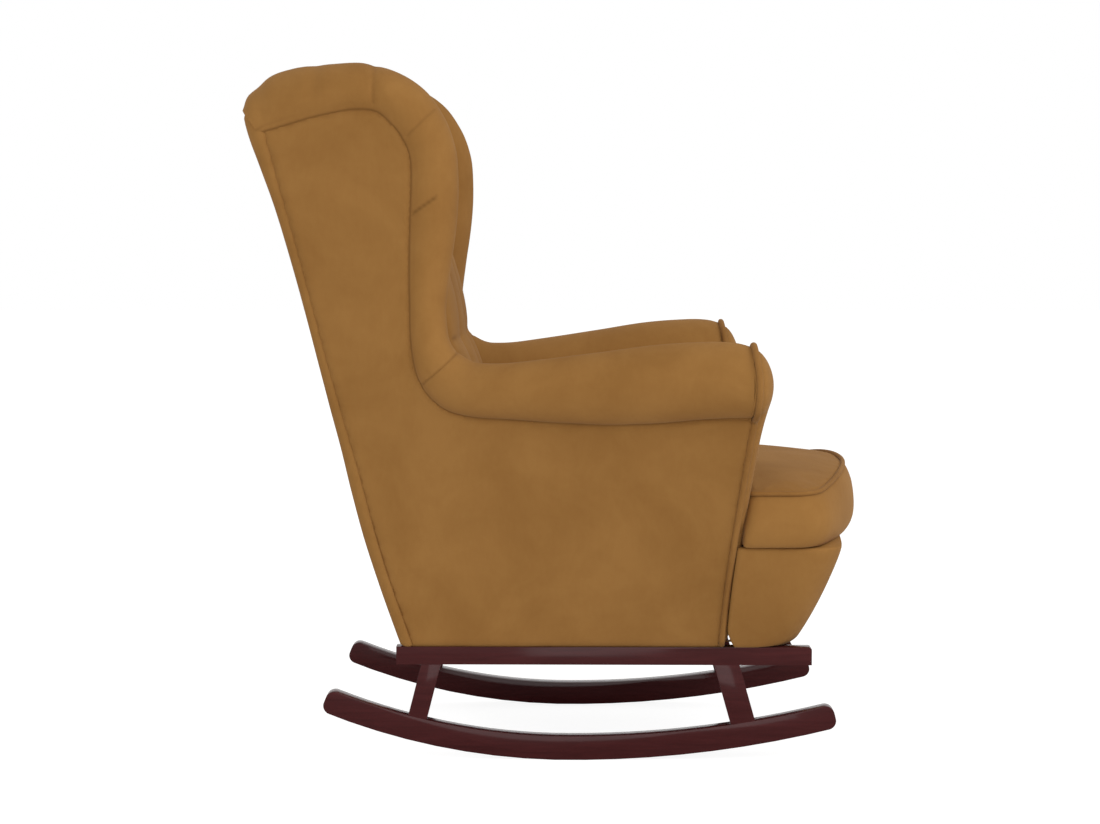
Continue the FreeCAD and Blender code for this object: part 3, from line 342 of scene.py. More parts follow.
# Stage and light: name, place, target, size and power of each softbox
FLOOR_SIZE = 30.0
FLOOR_COLOUR = (0.8, 0.8, 0.8, 1)
FLOOR_SHADOW_COLOUR = (0.3, 0.3, 0.3, 1)
FLOOR_GLOW = 0.9
SKY_COLOUR = (1, 0.99, 0.975, 1)
SKY_STRENGTH = 0.56
SOFTBOXES = (
    ("key", (-1.6, -3.2, 2.6), (0, 0, 0.55), 2.6, 62),
    ("side", (-3.4, 0.6, 2.2), (0, 0, 0.5), 2.6, 27),
    ("low", (-3.2, -0.1, 0.35), (0.2, 0, 0.1), 1.2, 14),
    ("back", (1.8, 2.6, 2.4), (0, 0, 0.6), 2.4, 22),
)

# Camera, solved from the photograph's perspective
PHOTO_SIZE = (1100, 824)
FOCAL_PIXELS = 2200.0
SENSOR_WIDTH = 36.0
CAMERA_PLACE = (-3.35, -0.0245, 0.791)
DEPTH_POINT = (576, 216)


def at(x, y, z):
    return Vector((x * MM, (y + MIDDLE_SHIFT_Y) * MM, z * MM))


def between(value, low, high, at_low, at_high):
    return at_low + (at_high - at_low) * (value - low) / (high - low)


def on_curve(knots, value):
    """Smooth curve through (place, height) knots, read at a place."""
    places = [knot[0] for knot in knots]
    heights = [knot[1] for knot in knots]
    value = min(max(value, places[0]), places[-1])
    index = min(max(int(np.searchsorted(places, value)) - 1, 0), len(knots) - 2)
    span = places[index + 1] - places[index]
    share = (value - places[index]) / span

    def slope(i):
        low = max(i - 1, 0)
        high = min(i + 1, len(knots) - 1)
        return (heights[high] - heights[low]) / (places[high] - places[low])

    here, after = heights[index], heights[index + 1]
    leaving, arriving = slope(index) * span, slope(index + 1) * span
    squared, cubed = share * share, share ** 3
    return (here * (2 * cubed - 3 * squared + 1) + leaving * (cubed - 2 * squared + share)
            + after * (3 * squared - 2 * cubed) + arriving * (cubed - squared))


def rear_y(z):
    return on_curve(REAR_CURVE, z)


def front_seam_y(z):
    return on_curve(FRONT_SEAM_CURVE, z)


def side_line(z):
    """Half width of the side's outer face at its rear edge and at its front edge, at one height."""
    if z <= ARM_SEAM_Z:
        rear = between(z, RAIL_TOP_Z, ARM_SEAM_Z, FOOT_HALF_WIDTH, ARM_SEAM_REAR_X)
        front = between(z, RAIL_TOP_Z, ARM_SEAM_Z, FOOT_HALF_WIDTH, ARM_SEAM_FRONT_X)
    else:
        rear = between(z, ARM_SEAM_Z, SIDE_TOP_Z, ARM_SEAM_REAR_X, SIDE_TOP_REAR_X)
        front = between(z, ARM_SEAM_Z, SIDE_TOP_Z, ARM_SEAM_FRONT_X, SIDE_TOP_FRONT_X)
    return rear, front


def side_x(y, z):
    rear, front = side_line(z)
    straight_rear = between(z, RAIL_TOP_Z, REAR_TOP_Z, REAR_FOOT_Y, REAR_TOP_Y)
    return between(y, straight_rear, SIDE_FRONT_Y, rear, front)


# Mesh helpers


def clear_selection():
    bpy.ops.object.select_all(action="DESELECT")


def new_piece(name, points, faces):
    """Mesh object from drawn points, with its faces turned outwards."""
    mesh = bpy.data.meshes.new(name)
    mesh.from_pydata([tuple(at(*point)) for point in points], [], faces)
    shape = bmesh.new()
    shape.from_mesh(mesh)
    bmesh.ops.remove_doubles(shape, verts=shape.verts, dist=MERGE_DISTANCE)
    bmesh.ops.recalc_face_normals(shape, faces=shape.faces)
    shape.to_mesh(mesh)
    shape.free()
    mesh.shade_smooth()
    # Mask of painted shade for pressed grooves, seams and folds, empty until they are pressed
    mesh.attributes.new("crease_shade", "FLOAT", "POINT")
    piece = bpy.data.objects.new(name, mesh)
    bpy.context.scene.collection.objects.link(piece)
    return piece


def coordinates(piece):
    places = np.zeros(len(piece.data.vertices) * 3)
    piece.data.vertices.foreach_get("co", places)
    return places.reshape(-1, 3)


def vertex_normals(piece):
    normals = np.zeros(len(piece.data.vertices) * 3)
    piece.data.vertices.foreach_get("normal", normals)
    return normals.reshape(-1, 3)


def put_coordinates(piece, places):
    piece.data.vertices.foreach_set("co", places.ravel())
    piece.data.update()


def distance_to_line(places, line):
    """Least distance from each place to a line of joined points."""
    nearest = np.full(len(places), FAR_AWAY)
    for start, end in zip(line[:-1], line[1:]):
        along = end - start
        length = max(float(along @ along), NO_AREA)
        share = np.clip(((places - start) @ along) / length, 0.0, 1.0)
        gap = np.linalg.norm(places - (start + share[:, None] * along), axis=1)
        nearest = np.minimum(nearest, gap)
    return nearest


def press(piece, line, width, depth, dark=1.0):
    """Presses a groove along a drawn line into a padded piece and paints shade into it."""
    line = [np.array(at(*point)) for point in line]
    places = coordinates(piece)
    gap = distance_to_line(places, line) / (width * MM)
    dent = np.exp(-gap ** 2)
    put_coordinates(piece, places - vertex_normals(piece) * (dent * depth * MM)[:, None])
    paint_shade(piece, dark * np.exp(-(gap * SHADE_SHARPNESS) ** 2))


def pleat(piece, start, end, width, depth, dark):
    """Presses a sewn fold into the outer side of a left piece, along a line seen from the side, and paints
    shade into it.
    """
    places = coordinates(piece)
    normals = vertex_normals(piece)
    line = [np.array(at(0, *point))[1:] for point in (start, end)]
    gap = distance_to_line(places[:, 1:], line) / (width * MM)
    outer = np.clip(normals[:, 0] * OUTER_SIDE_FADE + 1, 0, 1)
    dent = np.exp(-gap ** 2) * outer
    put_coordinates(piece, places - normals * (dent * depth * MM)[:, None])
    paint_shade(piece, dark * np.exp(-(gap * SHADE_SHARPNESS) ** 2) * outer)


# Paints shade into the crease mask, which the cloth mixes towards its seam shade colour
def paint_shade(piece, amounts):
    crease_shade = piece.data.attributes["crease_shade"].data
    values = np.zeros(len(crease_shade))
    crease_shade.foreach_get("value", values)
    crease_shade.foreach_set("value", np.maximum(values, amounts))


def ruffle(piece, amount, size, seed):
    """Gentle unevenness of hand-fitted fabric, from smooth noise at one size."""
    places = coordinates(piece)
    offset = Vector([seed * stride for stride in NOISE_STRIDE])
    wave = np.array([noise.noise(Vector(place) / (size * MM) + offset) for place in places])
    put_coordinates(piece, places + vertex_normals(piece) * (wave * amount * MM)[:, None])


def make_active(piece):
    clear_selection()
    bpy.context.view_layer.objects.active = piece
    piece.select_set(True)


def blown(piece, is_held, most):
    """Blows a closed padded piece up as cloth, held where it is sewn or rests, moving it a limited way."""
    make_active(piece)
    even = piece.modifiers.new("even", "REMESH")
    even.mode = "VOXEL"
    even.voxel_size = VOXEL * MM
    bpy.ops.object.modifier_apply(modifier="even")
    before = coordinates(piece)
    drawn = before / MM - np.array((0.0, MIDDLE_SHIFT_Y, 0.0))
    sewn = piece.vertex_groups.new(name="sewn")
    sewn.add([int(index) for index in np.flatnonzero(is_held(drawn))], 1.0, "REPLACE")
    cloth = piece.modifiers.new("blown", "CLOTH")
    cloth.settings.quality = CLOTH_QUALITY
    cloth.settings.use_pressure = True
    cloth.settings.uniform_pressure_force = PRESSURE
    cloth.settings.effector_weights.gravity = 0.0
    cloth.settings.vertex_group_mass = "sewn"
    cloth.point_cache.frame_start = 1
    cloth.point_cache.frame_end = LAST_FRAME
    for number in range(1, LAST_FRAME + 1):
        bpy.context.scene.frame_set(number)
    bpy.ops.object.modifier_apply(modifier="blown")
    bpy.context.scene.frame_set(1)
    moved = coordinates(piece) - before
    length = np.maximum(np.linalg.norm(moved, axis=1), NO_LENGTH)
    put_coordinates(piece, before + moved * np.minimum(1.0, most * MM / length)[:, None])
    even_out = piece.modifiers.new("even_out", "SMOOTH")
    even_out.iterations = 1
    bpy.ops.object.modifier_apply(modifier="even_out")
    finer = piece.modifiers.new("finer", "SUBSURF")
    finer.levels = 1
    finer.render_levels = 1
    bpy.ops.object.modifier_apply(modifier="finer")
    piece.data.shade_smooth()
    # Fresh mask of painted shade for grooves, seams and folds
    piece.data.attributes.new("crease_shade", "FLOAT", "POINT")


def finish_padding(piece, node, material):
    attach(piece, "root")
    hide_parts(node)
    piece.data.materials.clear()
    piece.data.materials.append(material)


def mirrored(piece, name):
    """The same piece for the other side of the chair, with its own mesh."""
    mesh = piece.data.copy()
    mesh.name = name
    mesh.transform(Matrix.Scale(-1, 4, (1, 0, 0)))
    mesh.flip_normals()
    twin = bpy.data.objects.new(name, mesh)
    bpy.context.scene.collection.objects.link(twin)
    return twin


def both_sides(piece, node, material):
    """Finishes the left piece and its mirror image on the right."""
    twin = mirrored(piece, "right_" + piece.name)
    piece.name = "left_" + piece.name
    finish_padding(piece, "left_" + node, material)
    finish_padding(twin, "right_" + node, material)


def arc(start, middle, end, count):
    """Points on the circle through three flat points, without the last one."""
    (start_x, start_y), (middle_x, middle_y), (end_x, end_y) = start, middle, end
    spread = 2 * (start_x * (middle_y - end_y) + middle_x * (end_y - start_y) + end_x * (start_y - middle_y))
    start_square = start_x * start_x + start_y * start_y
    middle_square = middle_x * middle_x + middle_y * middle_y
    end_square = end_x * end_x + end_y * end_y
    centre_x = (start_square * (middle_y - end_y) + middle_square * (end_y - start_y)
                + end_square * (start_y - middle_y)) / spread
    centre_y = (start_square * (end_x - middle_x) + middle_square * (start_x - end_x)
                + end_square * (middle_x - start_x)) / spread
    radius = math.hypot(start_x - centre_x, start_y - centre_y)
    first = math.atan2(start_y - centre_y, start_x - centre_x)
    middle_angle = math.atan2(middle_y - centre_y, middle_x - centre_x)
    last = math.atan2(end_y - centre_y, end_x - centre_x)
    turn = (last - first) % math.tau
    if (middle_angle - first) % math.tau > turn:
        turn = turn - math.tau
    angles = [first + turn * index / count for index in range(count)]
    return [(centre_x + radius * math.cos(angle), centre_y + radius * math.sin(angle)) for angle in angles]


def around(count):
    """Evenly spread angles of a full turn."""
    return np.linspace(0, math.tau, count + 1)[:-1]


def line_points(start, end, count):
    return [tuple(start[k] + (end[k] - start[k]) * index / count for k in range(len(start)))
            for index in range(count)]


def skin(rings):
    """Points and faces of a closed body through rings of equal length, with both ends capped."""
    size = len(rings[0])
    points = [point for ring in rings for point in ring]
    faces = []
    for row in range(len(rings) - 1):
        for column in range(size):
            after = (column + 1) % size
            faces.append((row * size + column, row * size + after,
                          (row + 1) * size + after, (row + 1) * size + column))
    faces.append(tuple(range(size)))
    faces.append(tuple(range((len(rings) - 1) * size, len(rings) * size)))
    return points, faces


def resampled(outline, spacing, count=None):
    """Closed flat outline with its points evenly spread."""
    points = np.array(list(outline) + [outline[0]], float)
    lengths = np.linalg.norm(np.diff(points, axis=0), axis=1)
    total = np.concatenate([[0], np.cumsum(lengths)])
    if count is None:
        count = max(int(total[-1] / spacing), LEAST_RIM_POINTS)
    stops = np.arange(count) * total[-1] / count
    return np.stack([np.interp(stops, total, points[:, k]) for k in (0, 1)], axis=1)


def grown(outline, amount):
    """Closed flat outline moved outwards by an amount."""
    points = np.array(outline, float)
    after = np.roll(points, -1, axis=0)
    before = np.roll(points, 1, axis=0)
    along = after - before
    along /= np.maximum(np.linalg.norm(along, axis=1), NO_LENGTH)[:, None]
    area = np.sum(points[:, 0] * after[:, 1] - after[:, 0] * points[:, 1])
    outwards = np.stack([along[:, 1], -along[:, 0]], axis=1) * math.copysign(1.0, area)
    return [tuple(point) for point in points + outwards * amount]


def inside_outline(places, outline):
    """Which flat places lie inside a closed outline."""
    found = np.zeros(len(places), bool)
    before = outline[-1]
    for here in outline:
        crosses = (here[1] > places[:, 1]) != (before[1] > places[:, 1])
        drop = before[1] - here[1]
        if abs(drop) > NO_LENGTH:
            edge_x = here[0] + (places[:, 1] - here[1]) * (before[0] - here[0]) / drop
            found ^= crosses & (places[:, 0] < edge_x)
        before = here
    return found


def patch(outline, spacing):
    """Even triangles over a closed flat outline: points, triangles, rim size and distance inwards."""
    rim = resampled(outline, spacing)
    low, high = rim.min(0), rim.max(0)
    rows = np.arange(low[1] + spacing / 2, high[1], spacing * ROW_PITCH)
    grid = []
    for index, row in enumerate(rows):
        shift = (index % 2) * spacing / 2
        grid += [(x + shift, row) for x in np.arange(low[0] + spacing / 2, high[0], spacing)]
    grid = np.array(grid)
    closed = np.vstack([rim, rim[:1]])
    gap = distance_to_line(grid, closed)
    grid = grid[inside_outline(grid, rim) & (gap > spacing * RIM_CLEARANCE)]
    flat = np.vstack([rim, grid])
    loop = list(range(len(rim)))
    found = delaunay_2d_cdt([Vector(p) for p in flat], [], [loop], 1, TRIANGLE_TOLERANCE)
    points = np.array([tuple(v) for v in found[0]])
    triangles = [tuple(face) for face in found[2]]
    inwards = distance_to_line(points, closed)
    return points, triangles, rim, inwards


def membrane(points, triangles, held):
    """Height of a stretched skin blown up evenly from held points: 0 where held, 1 at the top."""
    edges = set()
    for face in triangles:
        for k in range(3):
            a, b = face[k], face[(k + 1) % 3]
            edges.add((min(a, b), max(a, b)))
    edges = np.array(sorted(edges))
    count = len(points)
    degree = np.bincount(edges.ravel(), minlength=count).astype(float)
    free = ~held

    def spread(values):
        values = np.where(free, values, 0.0)
        total = np.bincount(edges[:, 0], values[edges[:, 1]], count)
        total += np.bincount(edges[:, 1], values[edges[:, 0]], count)
        return np.where(free, degree * values - total, 0.0)

    height = np.zeros(count)
    residual = np.where(free, 1.0, 0.0)
    direction = residual.copy()
    strength = residual @ residual
    for step in range(MEMBRANE_STEPS):
        pushed = spread(direction)
        share = strength / (direction @ pushed)
        height += share * direction
        residual -= share * pushed
        after = residual @ residual
        if after < MEMBRANE_CLOSE * count:
            break
        direction = residual + direction * after / strength
        strength = after
    return height / height.max()


def pad_mesh(outline, spacing, place, crown, rim_radius, thickness, power=0.6, pins=None):
    """Closed pad on a flat outline: a blown-up face with a rounded rim, straight walls and a flat back.

    place(u, v, lift) gives the drawn point at a flat place, lifted off the outline's surface.
    pins(points, triangles, held) gives the heights of a face that is also sewn down inside its rim.
    """
    points, triangles, rim, inwards = patch(outline, spacing)
    held = inwards < spacing * RIM_HELD
    if pins is None:
        height = membrane(points, triangles, held) ** power
    else:
        height = pins(points, triangles, held)
    near = np.clip(inwards / rim_radius, 0, 1)
    edge = rim_radius * (np.sqrt(1 - (1 - near) ** 2) - 1)
    lift = edge + crown * height
    front = [place(u, v, rise) for (u, v), rise in zip(points, lift)]
    back = [place(u, v, -thickness) for u, v in points]
    faces = list(triangles)
    count = len(points)
    faces += [tuple(count + index for index in reversed(face)) for face in triangles]
    rim_pairs = {}
    for face in triangles:
        for k in range(3):
            a, b = face[k], face[(k + 1) % 3]
            rim_pairs[(a, b)] = rim_pairs.get((a, b), 0) + 1
    for (a, b) in list(rim_pairs):
        if (b, a) not in rim_pairs:
            faces.append((b, a, count + a, count + b))
    return front + back, faces


# Padded band and outlines


def band_row(position):
    """Station of the padded band at a row position, whole or between two rows."""
    table = [list(seam) + list(crest) + [swell, set_in, inner] for seam, crest, swell, set_in, inner in BAND]
    rows = np.array(table, float)
    knots = list(range(len(rows)))
    return [on_curve(list(zip(knots, rows[:, column])), position) for column in range(rows.shape[1])]


def band_ring(position):
    """Cross-section ring of the padded band at a station."""
    seam_y, seam_z, crest_y, crest_z, swell, set_in, inner = band_row(position)
    x = side_x(seam_y, seam_z)
    height = math.hypot(crest_y - seam_y, crest_z - seam_z)
    is_arm = max(min((WING_START_ROW + ARM_FADE_LEAD - position) / ARM_FADE_ROWS, 1.0), 0.0)
    width = ROLL_WIDTH + (INSIDE_DEPTH - ROLL_WIDTH) * is_arm
    inner_mid_x = -ARM_INNER_SET_IN * is_arm - WING_INNER_SET_IN * (1 - is_arm)
    inner_mid = ARM_INNER_HEIGHT * is_arm + WING_INNER_HEIGHT * (1 - is_arm)
    low = -BASE_DEPTH - ARM_BASE_DEPTH * is_arm
    crest = (x + set_in, height)
    inner_seam = (x - width, inner * height)
    base_inner = (x - width + BASE_EASE, low)
    base_outer = (x - SEAM_TUCK, low)
    section = arc((x, 0), (x + swell, SWELL_HEIGHT * height), crest, OUTER_POINTS)
    section += arc(crest, (x + inner_mid_x, inner_mid * height), inner_seam, INNER_POINTS)
    section += line_points(inner_seam, base_inner, BASE_POINTS // 2)
    section += line_points(base_inner, base_outer, BASE_POINTS)
    section += line_points(base_outer, (x, 0), TUCK_POINTS)
    direction = ((crest_y - seam_y) / height, (crest_z - seam_z) / height)
    return [(across, seam_y + direction[0] * up, seam_z + direction[1] * up) for across, up in section]


def band_rows(first, last, count):
    return [first + (last - first) * index / count for index in range(count + 1)]


def seam_line(first, last, count, out=0.0, share=0.0):
    """Points along the band's outer seam, or at a share of its height, moved out in X."""
    line = []
    for position in band_rows(first, last, count):
        seam_y, seam_z, crest_y, crest_z = band_row(position)[:4]
        x = side_x(seam_y, seam_z) + out
        line.append((x, seam_y + (crest_y - seam_y) * share, seam_z + (crest_z - seam_z) * share))
    return line


LAST_ROW = len(BAND) - 1


def outside_outline():
    """Outside panel seen from the side as (y, z) points."""
    outline = []
    for z in np.linspace(RAIL_TOP_Z, OUTSIDE_FRONT_TOP_Z, OUTSIDE_FRONT_POINTS):
        outline.append((front_seam_y(z), z))
    for seam in seam_line(OUTSIDE_FIRST_ROW, LAST_ROW, OUTSIDE_SEAM_POINTS):
        outline.append((seam[1], seam[2]))
    for z in np.linspace(OUTSIDE_REAR_TOP_Z, RAIL_TOP_Z, OUTSIDE_REAR_POINTS):
        outline.append((on_curve(CREASE_CURVE, z), z))
    return outline


# Upholstered pieces


def make_outside_panel(velvet):
    """Outside panel from the rail up to the band's seam, nearly flat."""
    def place(y, z, lift):
        return (side_x(y, z) + lift, y, z)

    outline = grown(outside_outline(), OUTSIDE_OVERLAP)
    points, faces = pad_mesh(outline, SPACING, place, crown=4.0, rim_radius=3.0, thickness=5.0)
    panel = new_piece("outside_panel_cover", points, faces)
    ruffle(panel, amount=1.0, size=120, seed=1)
    ruffle(panel, amount=0.3, size=38, seed=2)
    both_sides(panel, "outside_panel", velvet)


def sew_roll(roll, soft_crease, seam):
    """Presses a roll's soft crease, its sewn seam and the mitre between arm and wing, painting shade along
    each.
    """
    press(roll, soft_crease, width=2.4, depth=0.7, dark=0.22)
    press(roll, seam, width=2.4, depth=0.3, dark=0.6)
    press(roll, mitre_line(), width=2.4, depth=0.9, dark=0.26)


def make_arm_roll(velvet):
    """Roll along the top of the arm, from its front end to the mitre."""
    rings = [band_ring(position) for position in band_rows(0.0, MITRE_ROW + MITRE_LAP, ARM_RINGS)]
    points, faces = skin(rings)
    roll = new_piece("arm_roll_cover", points, faces)
    ruffle(roll, amount=0.9, size=70, seed=3)
    seam = seam_line(0.0, MITRE_ROW, ARM_SEAM_POINTS)
    soft_crease = [(x + ARM_CREASE_OUT, y, z + ARM_CREASE_UP) for x, y, z in seam]
    sew_roll(roll, soft_crease, seam)
    both_sides(roll, "arm_roll", velvet)


def mitre_line():
    """Diagonal seam where the arm's roll turns up into the wing's."""
    ring = band_ring(MITRE_ROW)
    return ring[:ROLL_POINTS]


def make_wing_roll(velvet):
    """Roll from the mitre up round the wing to the back's top corner, gathered where it turns."""
    rings = [band_ring(position) for position in band_rows(MITRE_ROW - MITRE_LAP, LAST_ROW, WING_RINGS)]
    points, faces = skin(rings)
    roll = new_piece("wing_roll_cover", points, faces)
    ruffle(roll, amount=0.9, size=65, seed=4)
    soft_crease = seam_line(MITRE_ROW, LAST_ROW, WING_SEAM_POINTS, WING_CREASE_OUT, WING_CREASE_SHARE)
    sew_roll(roll, soft_crease, seam_line(MITRE_ROW, LAST_ROW, WING_SEAM_POINTS))
    for start, end in WING_SCALLOPS:
        pleat(roll, start, end, SCALLOP_WIDTH, SCALLOP_DEPTH, dark=0.0)
    # Scallops carry no shade; the pleats are pressed in with painted shade
    for start, end, width, depth, dark in WING_PLEATS:
        pleat(roll, start, end, width, depth, dark)
    both_sides(roll, "wing_roll", velvet)


def arm_front_outline():
    """Whole arm seen from the front as (x, z) points."""
    ring = band_ring(0.0)
    outline = [(x, z) for x, y, z in ring[:ROLL_POINTS]]
    inner_x = side_x(ARM_FRONT_Y, ARM_SEAM_Z) - INSIDE_DEPTH
    foot_x = side_x(ARM_FRONT_FOOT_Y, RAIL_TOP_Z)
    foot_inner_x = foot_x - INSIDE_DEPTH
    inner_foot = (foot_inner_x + ARM_FOOT_INNER_IN, RAIL_TOP_Z + ARM_FOOT_INNER_UP)
    base_inner = (foot_inner_x + ARM_FOOT_BASE_IN, RAIL_TOP_Z)
    base_outer = (foot_x - ARM_FOOT_OUTER_IN, RAIL_TOP_Z)
    outer_foot = (foot_x, RAIL_TOP_Z + ARM_FOOT_OUTER_UP)
    outline += line_points((inner_x, ARM_SEAM_Z), inner_foot, ARM_INNER_EDGE_POINTS)
    outline += line_points(base_inner, base_outer, ARM_FOOT_POINTS)
    outline += line_points(outer_foot, outline[0], ARM_OUTER_EDGE_POINTS)
    return outline


def make_arm_front(velvet):
    """Domed panel over the arm's front end, down to the rail."""
    def place(x, z, lift):
        return (x, front_seam_y(z) - lift, z)

    points, faces = pad_mesh(arm_front_outline(), ARM_FRONT_SPACING, place,
                             crown=24.0, rim_radius=4.0, thickness=6.0, power=0.5)
    panel = new_piece("arm_front_cover", points, faces)
    ruffle(panel, amount=0.9, size=55, seed=5)
    both_sides(panel, "arm_front_panel", velvet)


def make_inner_pad(name, node_name, outline, crown, seed, velvet):
    """Plain pad on the inner face of a side, from its outline as (y, z) points."""
    def place(y, z, lift):
        return (side_x(y, z) - INSIDE_DEPTH - lift, y, z)

    points, faces = pad_mesh(outline, INNER_PAD_SPACING, place, crown, rim_radius=5.0, thickness=20.0)
    pad = new_piece(name, points, faces)
    ruffle(pad, amount=1.0, size=80, seed=seed)
    both_sides(pad, node_name, velvet)


def make_inside_arm(velvet):
    """Pad inside the arm, rising behind towards the wing."""
    low = INSIDE_ARM_BOTTOM_Z
    top = INSIDE_ARM_TOP_Z
    front_foot = (front_seam_y(low) + INSIDE_ARM_FRONT_GAP, low)
    front_top = (front_seam_y(top) + INSIDE_ARM_FRONT_GAP, top)
    rise_foot = (INSIDE_ARM_RISE_Y, top)
    rear_top = (INSIDE_ARM_REAR_Y, top + INSIDE_ARM_RISE)
    outline = line_points(front_foot, front_top, INSIDE_ARM_POINTS)
    outline += line_points(front_top, rise_foot, INSIDE_ARM_POINTS)
    outline += line_points(rise_foot, rear_top, INSIDE_ARM_RISE_POINTS)
    outline += line_points(rear_top, (INSIDE_ARM_REAR_Y, low), INSIDE_ARM_POINTS)
    make_inner_pad("inside_arm_cover", "inside_arm_pad", outline, crown=5.0, seed=6, velvet=velvet)


def make_inside_wing(velvet):
    """Pad inside the wing, from its roll's seam back to behind the inside back."""
    first_row, last_row = INSIDE_WING_ROWS
    seam = seam_line(first_row, last_row, INSIDE_WING_SEAM_POINTS)
    outline = [(y - INSIDE_WING_INSET, z) for x, y, z in seam]
    for z in np.linspace(INSIDE_WING_TOP_Z, INSIDE_WING_BOTTOM_Z, INSIDE_WING_REAR_POINTS):
        outline.append((on_curve(BACK_FACE_CURVE, z) + INSIDE_WING_BACK_LAP, z))
    make_inner_pad("inside_wing_cover", "inside_wing_pad", outline, crown=4.0, seed=7, velvet=velvet)


def outside_back_ring(z):
    """Section of the outside back at one height: rounded corners, a straight rear and its inner face."""
    edge_z = OUTSIDE_BACK_TOP_Z - OUTSIDE_BACK_ROUNDING
    foot = OUTSIDE_BACK_FOOT * max(1 - (z - RAIL_TOP_Z) / OUTSIDE_BACK_FOOT, 0)
    over = max(z - edge_z, 0) / OUTSIDE_BACK_ROUNDING
    drop = OUTSIDE_BACK_ROUNDING * (1 - math.sqrt(max(1 - over * over, 0)))
    outer = rear_y(z) - drop - foot
    inner = on_curve(CREASE_CURVE, z) - OUTSIDE_BACK_LAP + foot
    half = side_line(z)[0] + OUTSIDE_BACK_OVERHANG - foot - drop / 3
    reach = outer - inner
    flat_half = half - OUTSIDE_BACK_CORNER * reach
    middle_in, middle_back = OUTSIDE_BACK_CORNER_MIDDLE
    corner = arc((half, inner), (half - middle_in * reach, outer - middle_back * reach),
                 (flat_half, outer), OUTSIDE_BACK_EDGE_POINTS)
    ring = corner + line_points((flat_half, outer), (-flat_half, outer), OUTSIDE_BACK_REAR_POINTS)
    ring += [(-flat_half, outer)] + [(-x, y) for x, y in reversed(corner[1:])]
    ring += line_points((-half, inner), (half, inner), OUTSIDE_BACK_INNER_POINTS)
    return [(x, y, z) for x, y in ring]


def make_outside_back(velvet):
    """Padded panel over the outside of the back, rounded at its upright edges and at its top."""
    edge_z = OUTSIDE_BACK_TOP_Z - OUTSIDE_BACK_ROUNDING
    heights = [RAIL_TOP_Z, RAIL_TOP_Z + OUTSIDE_BACK_FOOT / 3, RAIL_TOP_Z + OUTSIDE_BACK_FOOT]
    heights += list(np.linspace(RAIL_TOP_Z + OUTSIDE_BACK_STRAIGHT, edge_z, OUTSIDE_BACK_LEVELS))
    for angle in np.linspace(OUTSIDE_BACK_EDGE_START, math.pi / 2, OUTSIDE_BACK_EDGE_POINTS):
        heights.append(OUTSIDE_BACK_TOP_Z - OUTSIDE_BACK_ROUNDING * (1 - math.sin(angle)))
    points, faces = skin([outside_back_ring(z) for z in heights])
    panel = new_piece("outside_back_cover", points, faces)
    ruffle(panel, amount=1.0, size=130, seed=8)
    finish_padding(panel, "outside_back_panel", velvet)


def back_face(z):
    """Drawn y of the inside back's sewn surface."""
    return on_curve(BACK_FACE_CURVE, z)


def back_pad_half(z):
    """Half width of the inside back at one height, between the wings' pads."""
    side = side_x(back_face(z) + BACK_PAD_SIDE_DEPTH, z) - INSIDE_DEPTH + BACK_PAD_SIDE_LAP
    return min(side, BACK_PAD_HALF_WIDTH)


def near_channels(across, up, width):
    """Which places of the inside back lie within a width of a sewn row or column."""
    near_row = np.min([abs(up - row) for row in BUTTON_ROWS_Z], axis=0)
    near_column = abs(abs(across) - BUTTON_COLUMN_X)
    return (near_row < width) | ((near_column < width) & (up > SEWN_FOOT_Z))


def tufts(points, triangles, held):
    """Heights of the tufted face: puffed cells between the channels, on domes between the buttons."""
    across, up = points[:, 0], points[:, 1]
    seams = held | near_channels(across, up, SEWN_HALF_WIDTH)
    cells = membrane(points, triangles, seams) ** CELL_FULLNESS
    buttons = held.copy()
    for row in BUTTON_ROWS_Z:
        for column in (-BUTTON_COLUMN_X, BUTTON_COLUMN_X):
            buttons |= np.hypot(across - column, up - row) < BUTTON_HOLD
    domes = membrane(points, triangles, buttons) ** DOME_FULLNESS
    return CELL_SHARE * cells + DOME_SHARE * domes


def make_inside_back(velvet):
    """Tufted inside back, blown up as cloth between its sewn rows and columns."""
    def place(x, z, lift):
        return (x, back_face(z) - lift, z)

    def is_held(places):
        up = places[:, 2]
        depth = places[:, 1] - np.array([back_face(z) for z in up])
        sewn = near_channels(places[:, 0], up, VOXEL)
        return sewn | (depth > BACK_HELD_DEPTH) | (up < BACK_PAD_BOTTOM_Z + 2 * VOXEL)

    downwards = np.linspace(BACK_PAD_TOP_Z, BACK_PAD_BOTTOM_Z, BACK_PAD_EDGE_POINTS)
    upwards = np.linspace(BACK_PAD_BOTTOM_Z, BACK_PAD_TOP_Z, BACK_PAD_EDGE_POINTS)
    outline = [(-back_pad_half(z), z) for z in downwards] + [(back_pad_half(z), z) for z in upwards]
    points, faces = pad_mesh(outline, BACK_PAD_SPACING, place,
                             crown=30.0, rim_radius=8.0, thickness=40.0, pins=tufts)
    pad = new_piece("inside_back_cover", points, faces)
    blown(pad, is_held, BACK_MOST_BLOWN)
    ruffle(pad, amount=1.0, size=60, seed=9)
    for row in BUTTON_ROWS_Z:
        # Each sewn channel is pressed in with painted shade
        y = back_face(row) - CHANNEL_PROUD
        channel = [(-BACK_PAD_HALF_WIDTH, y, row), (BACK_PAD_HALF_WIDTH, y, row)]
        press(pad, channel, width=5.0, depth=0.6, dark=0.5)
    finish_padding(pad, "inside_back_pad", velvet)


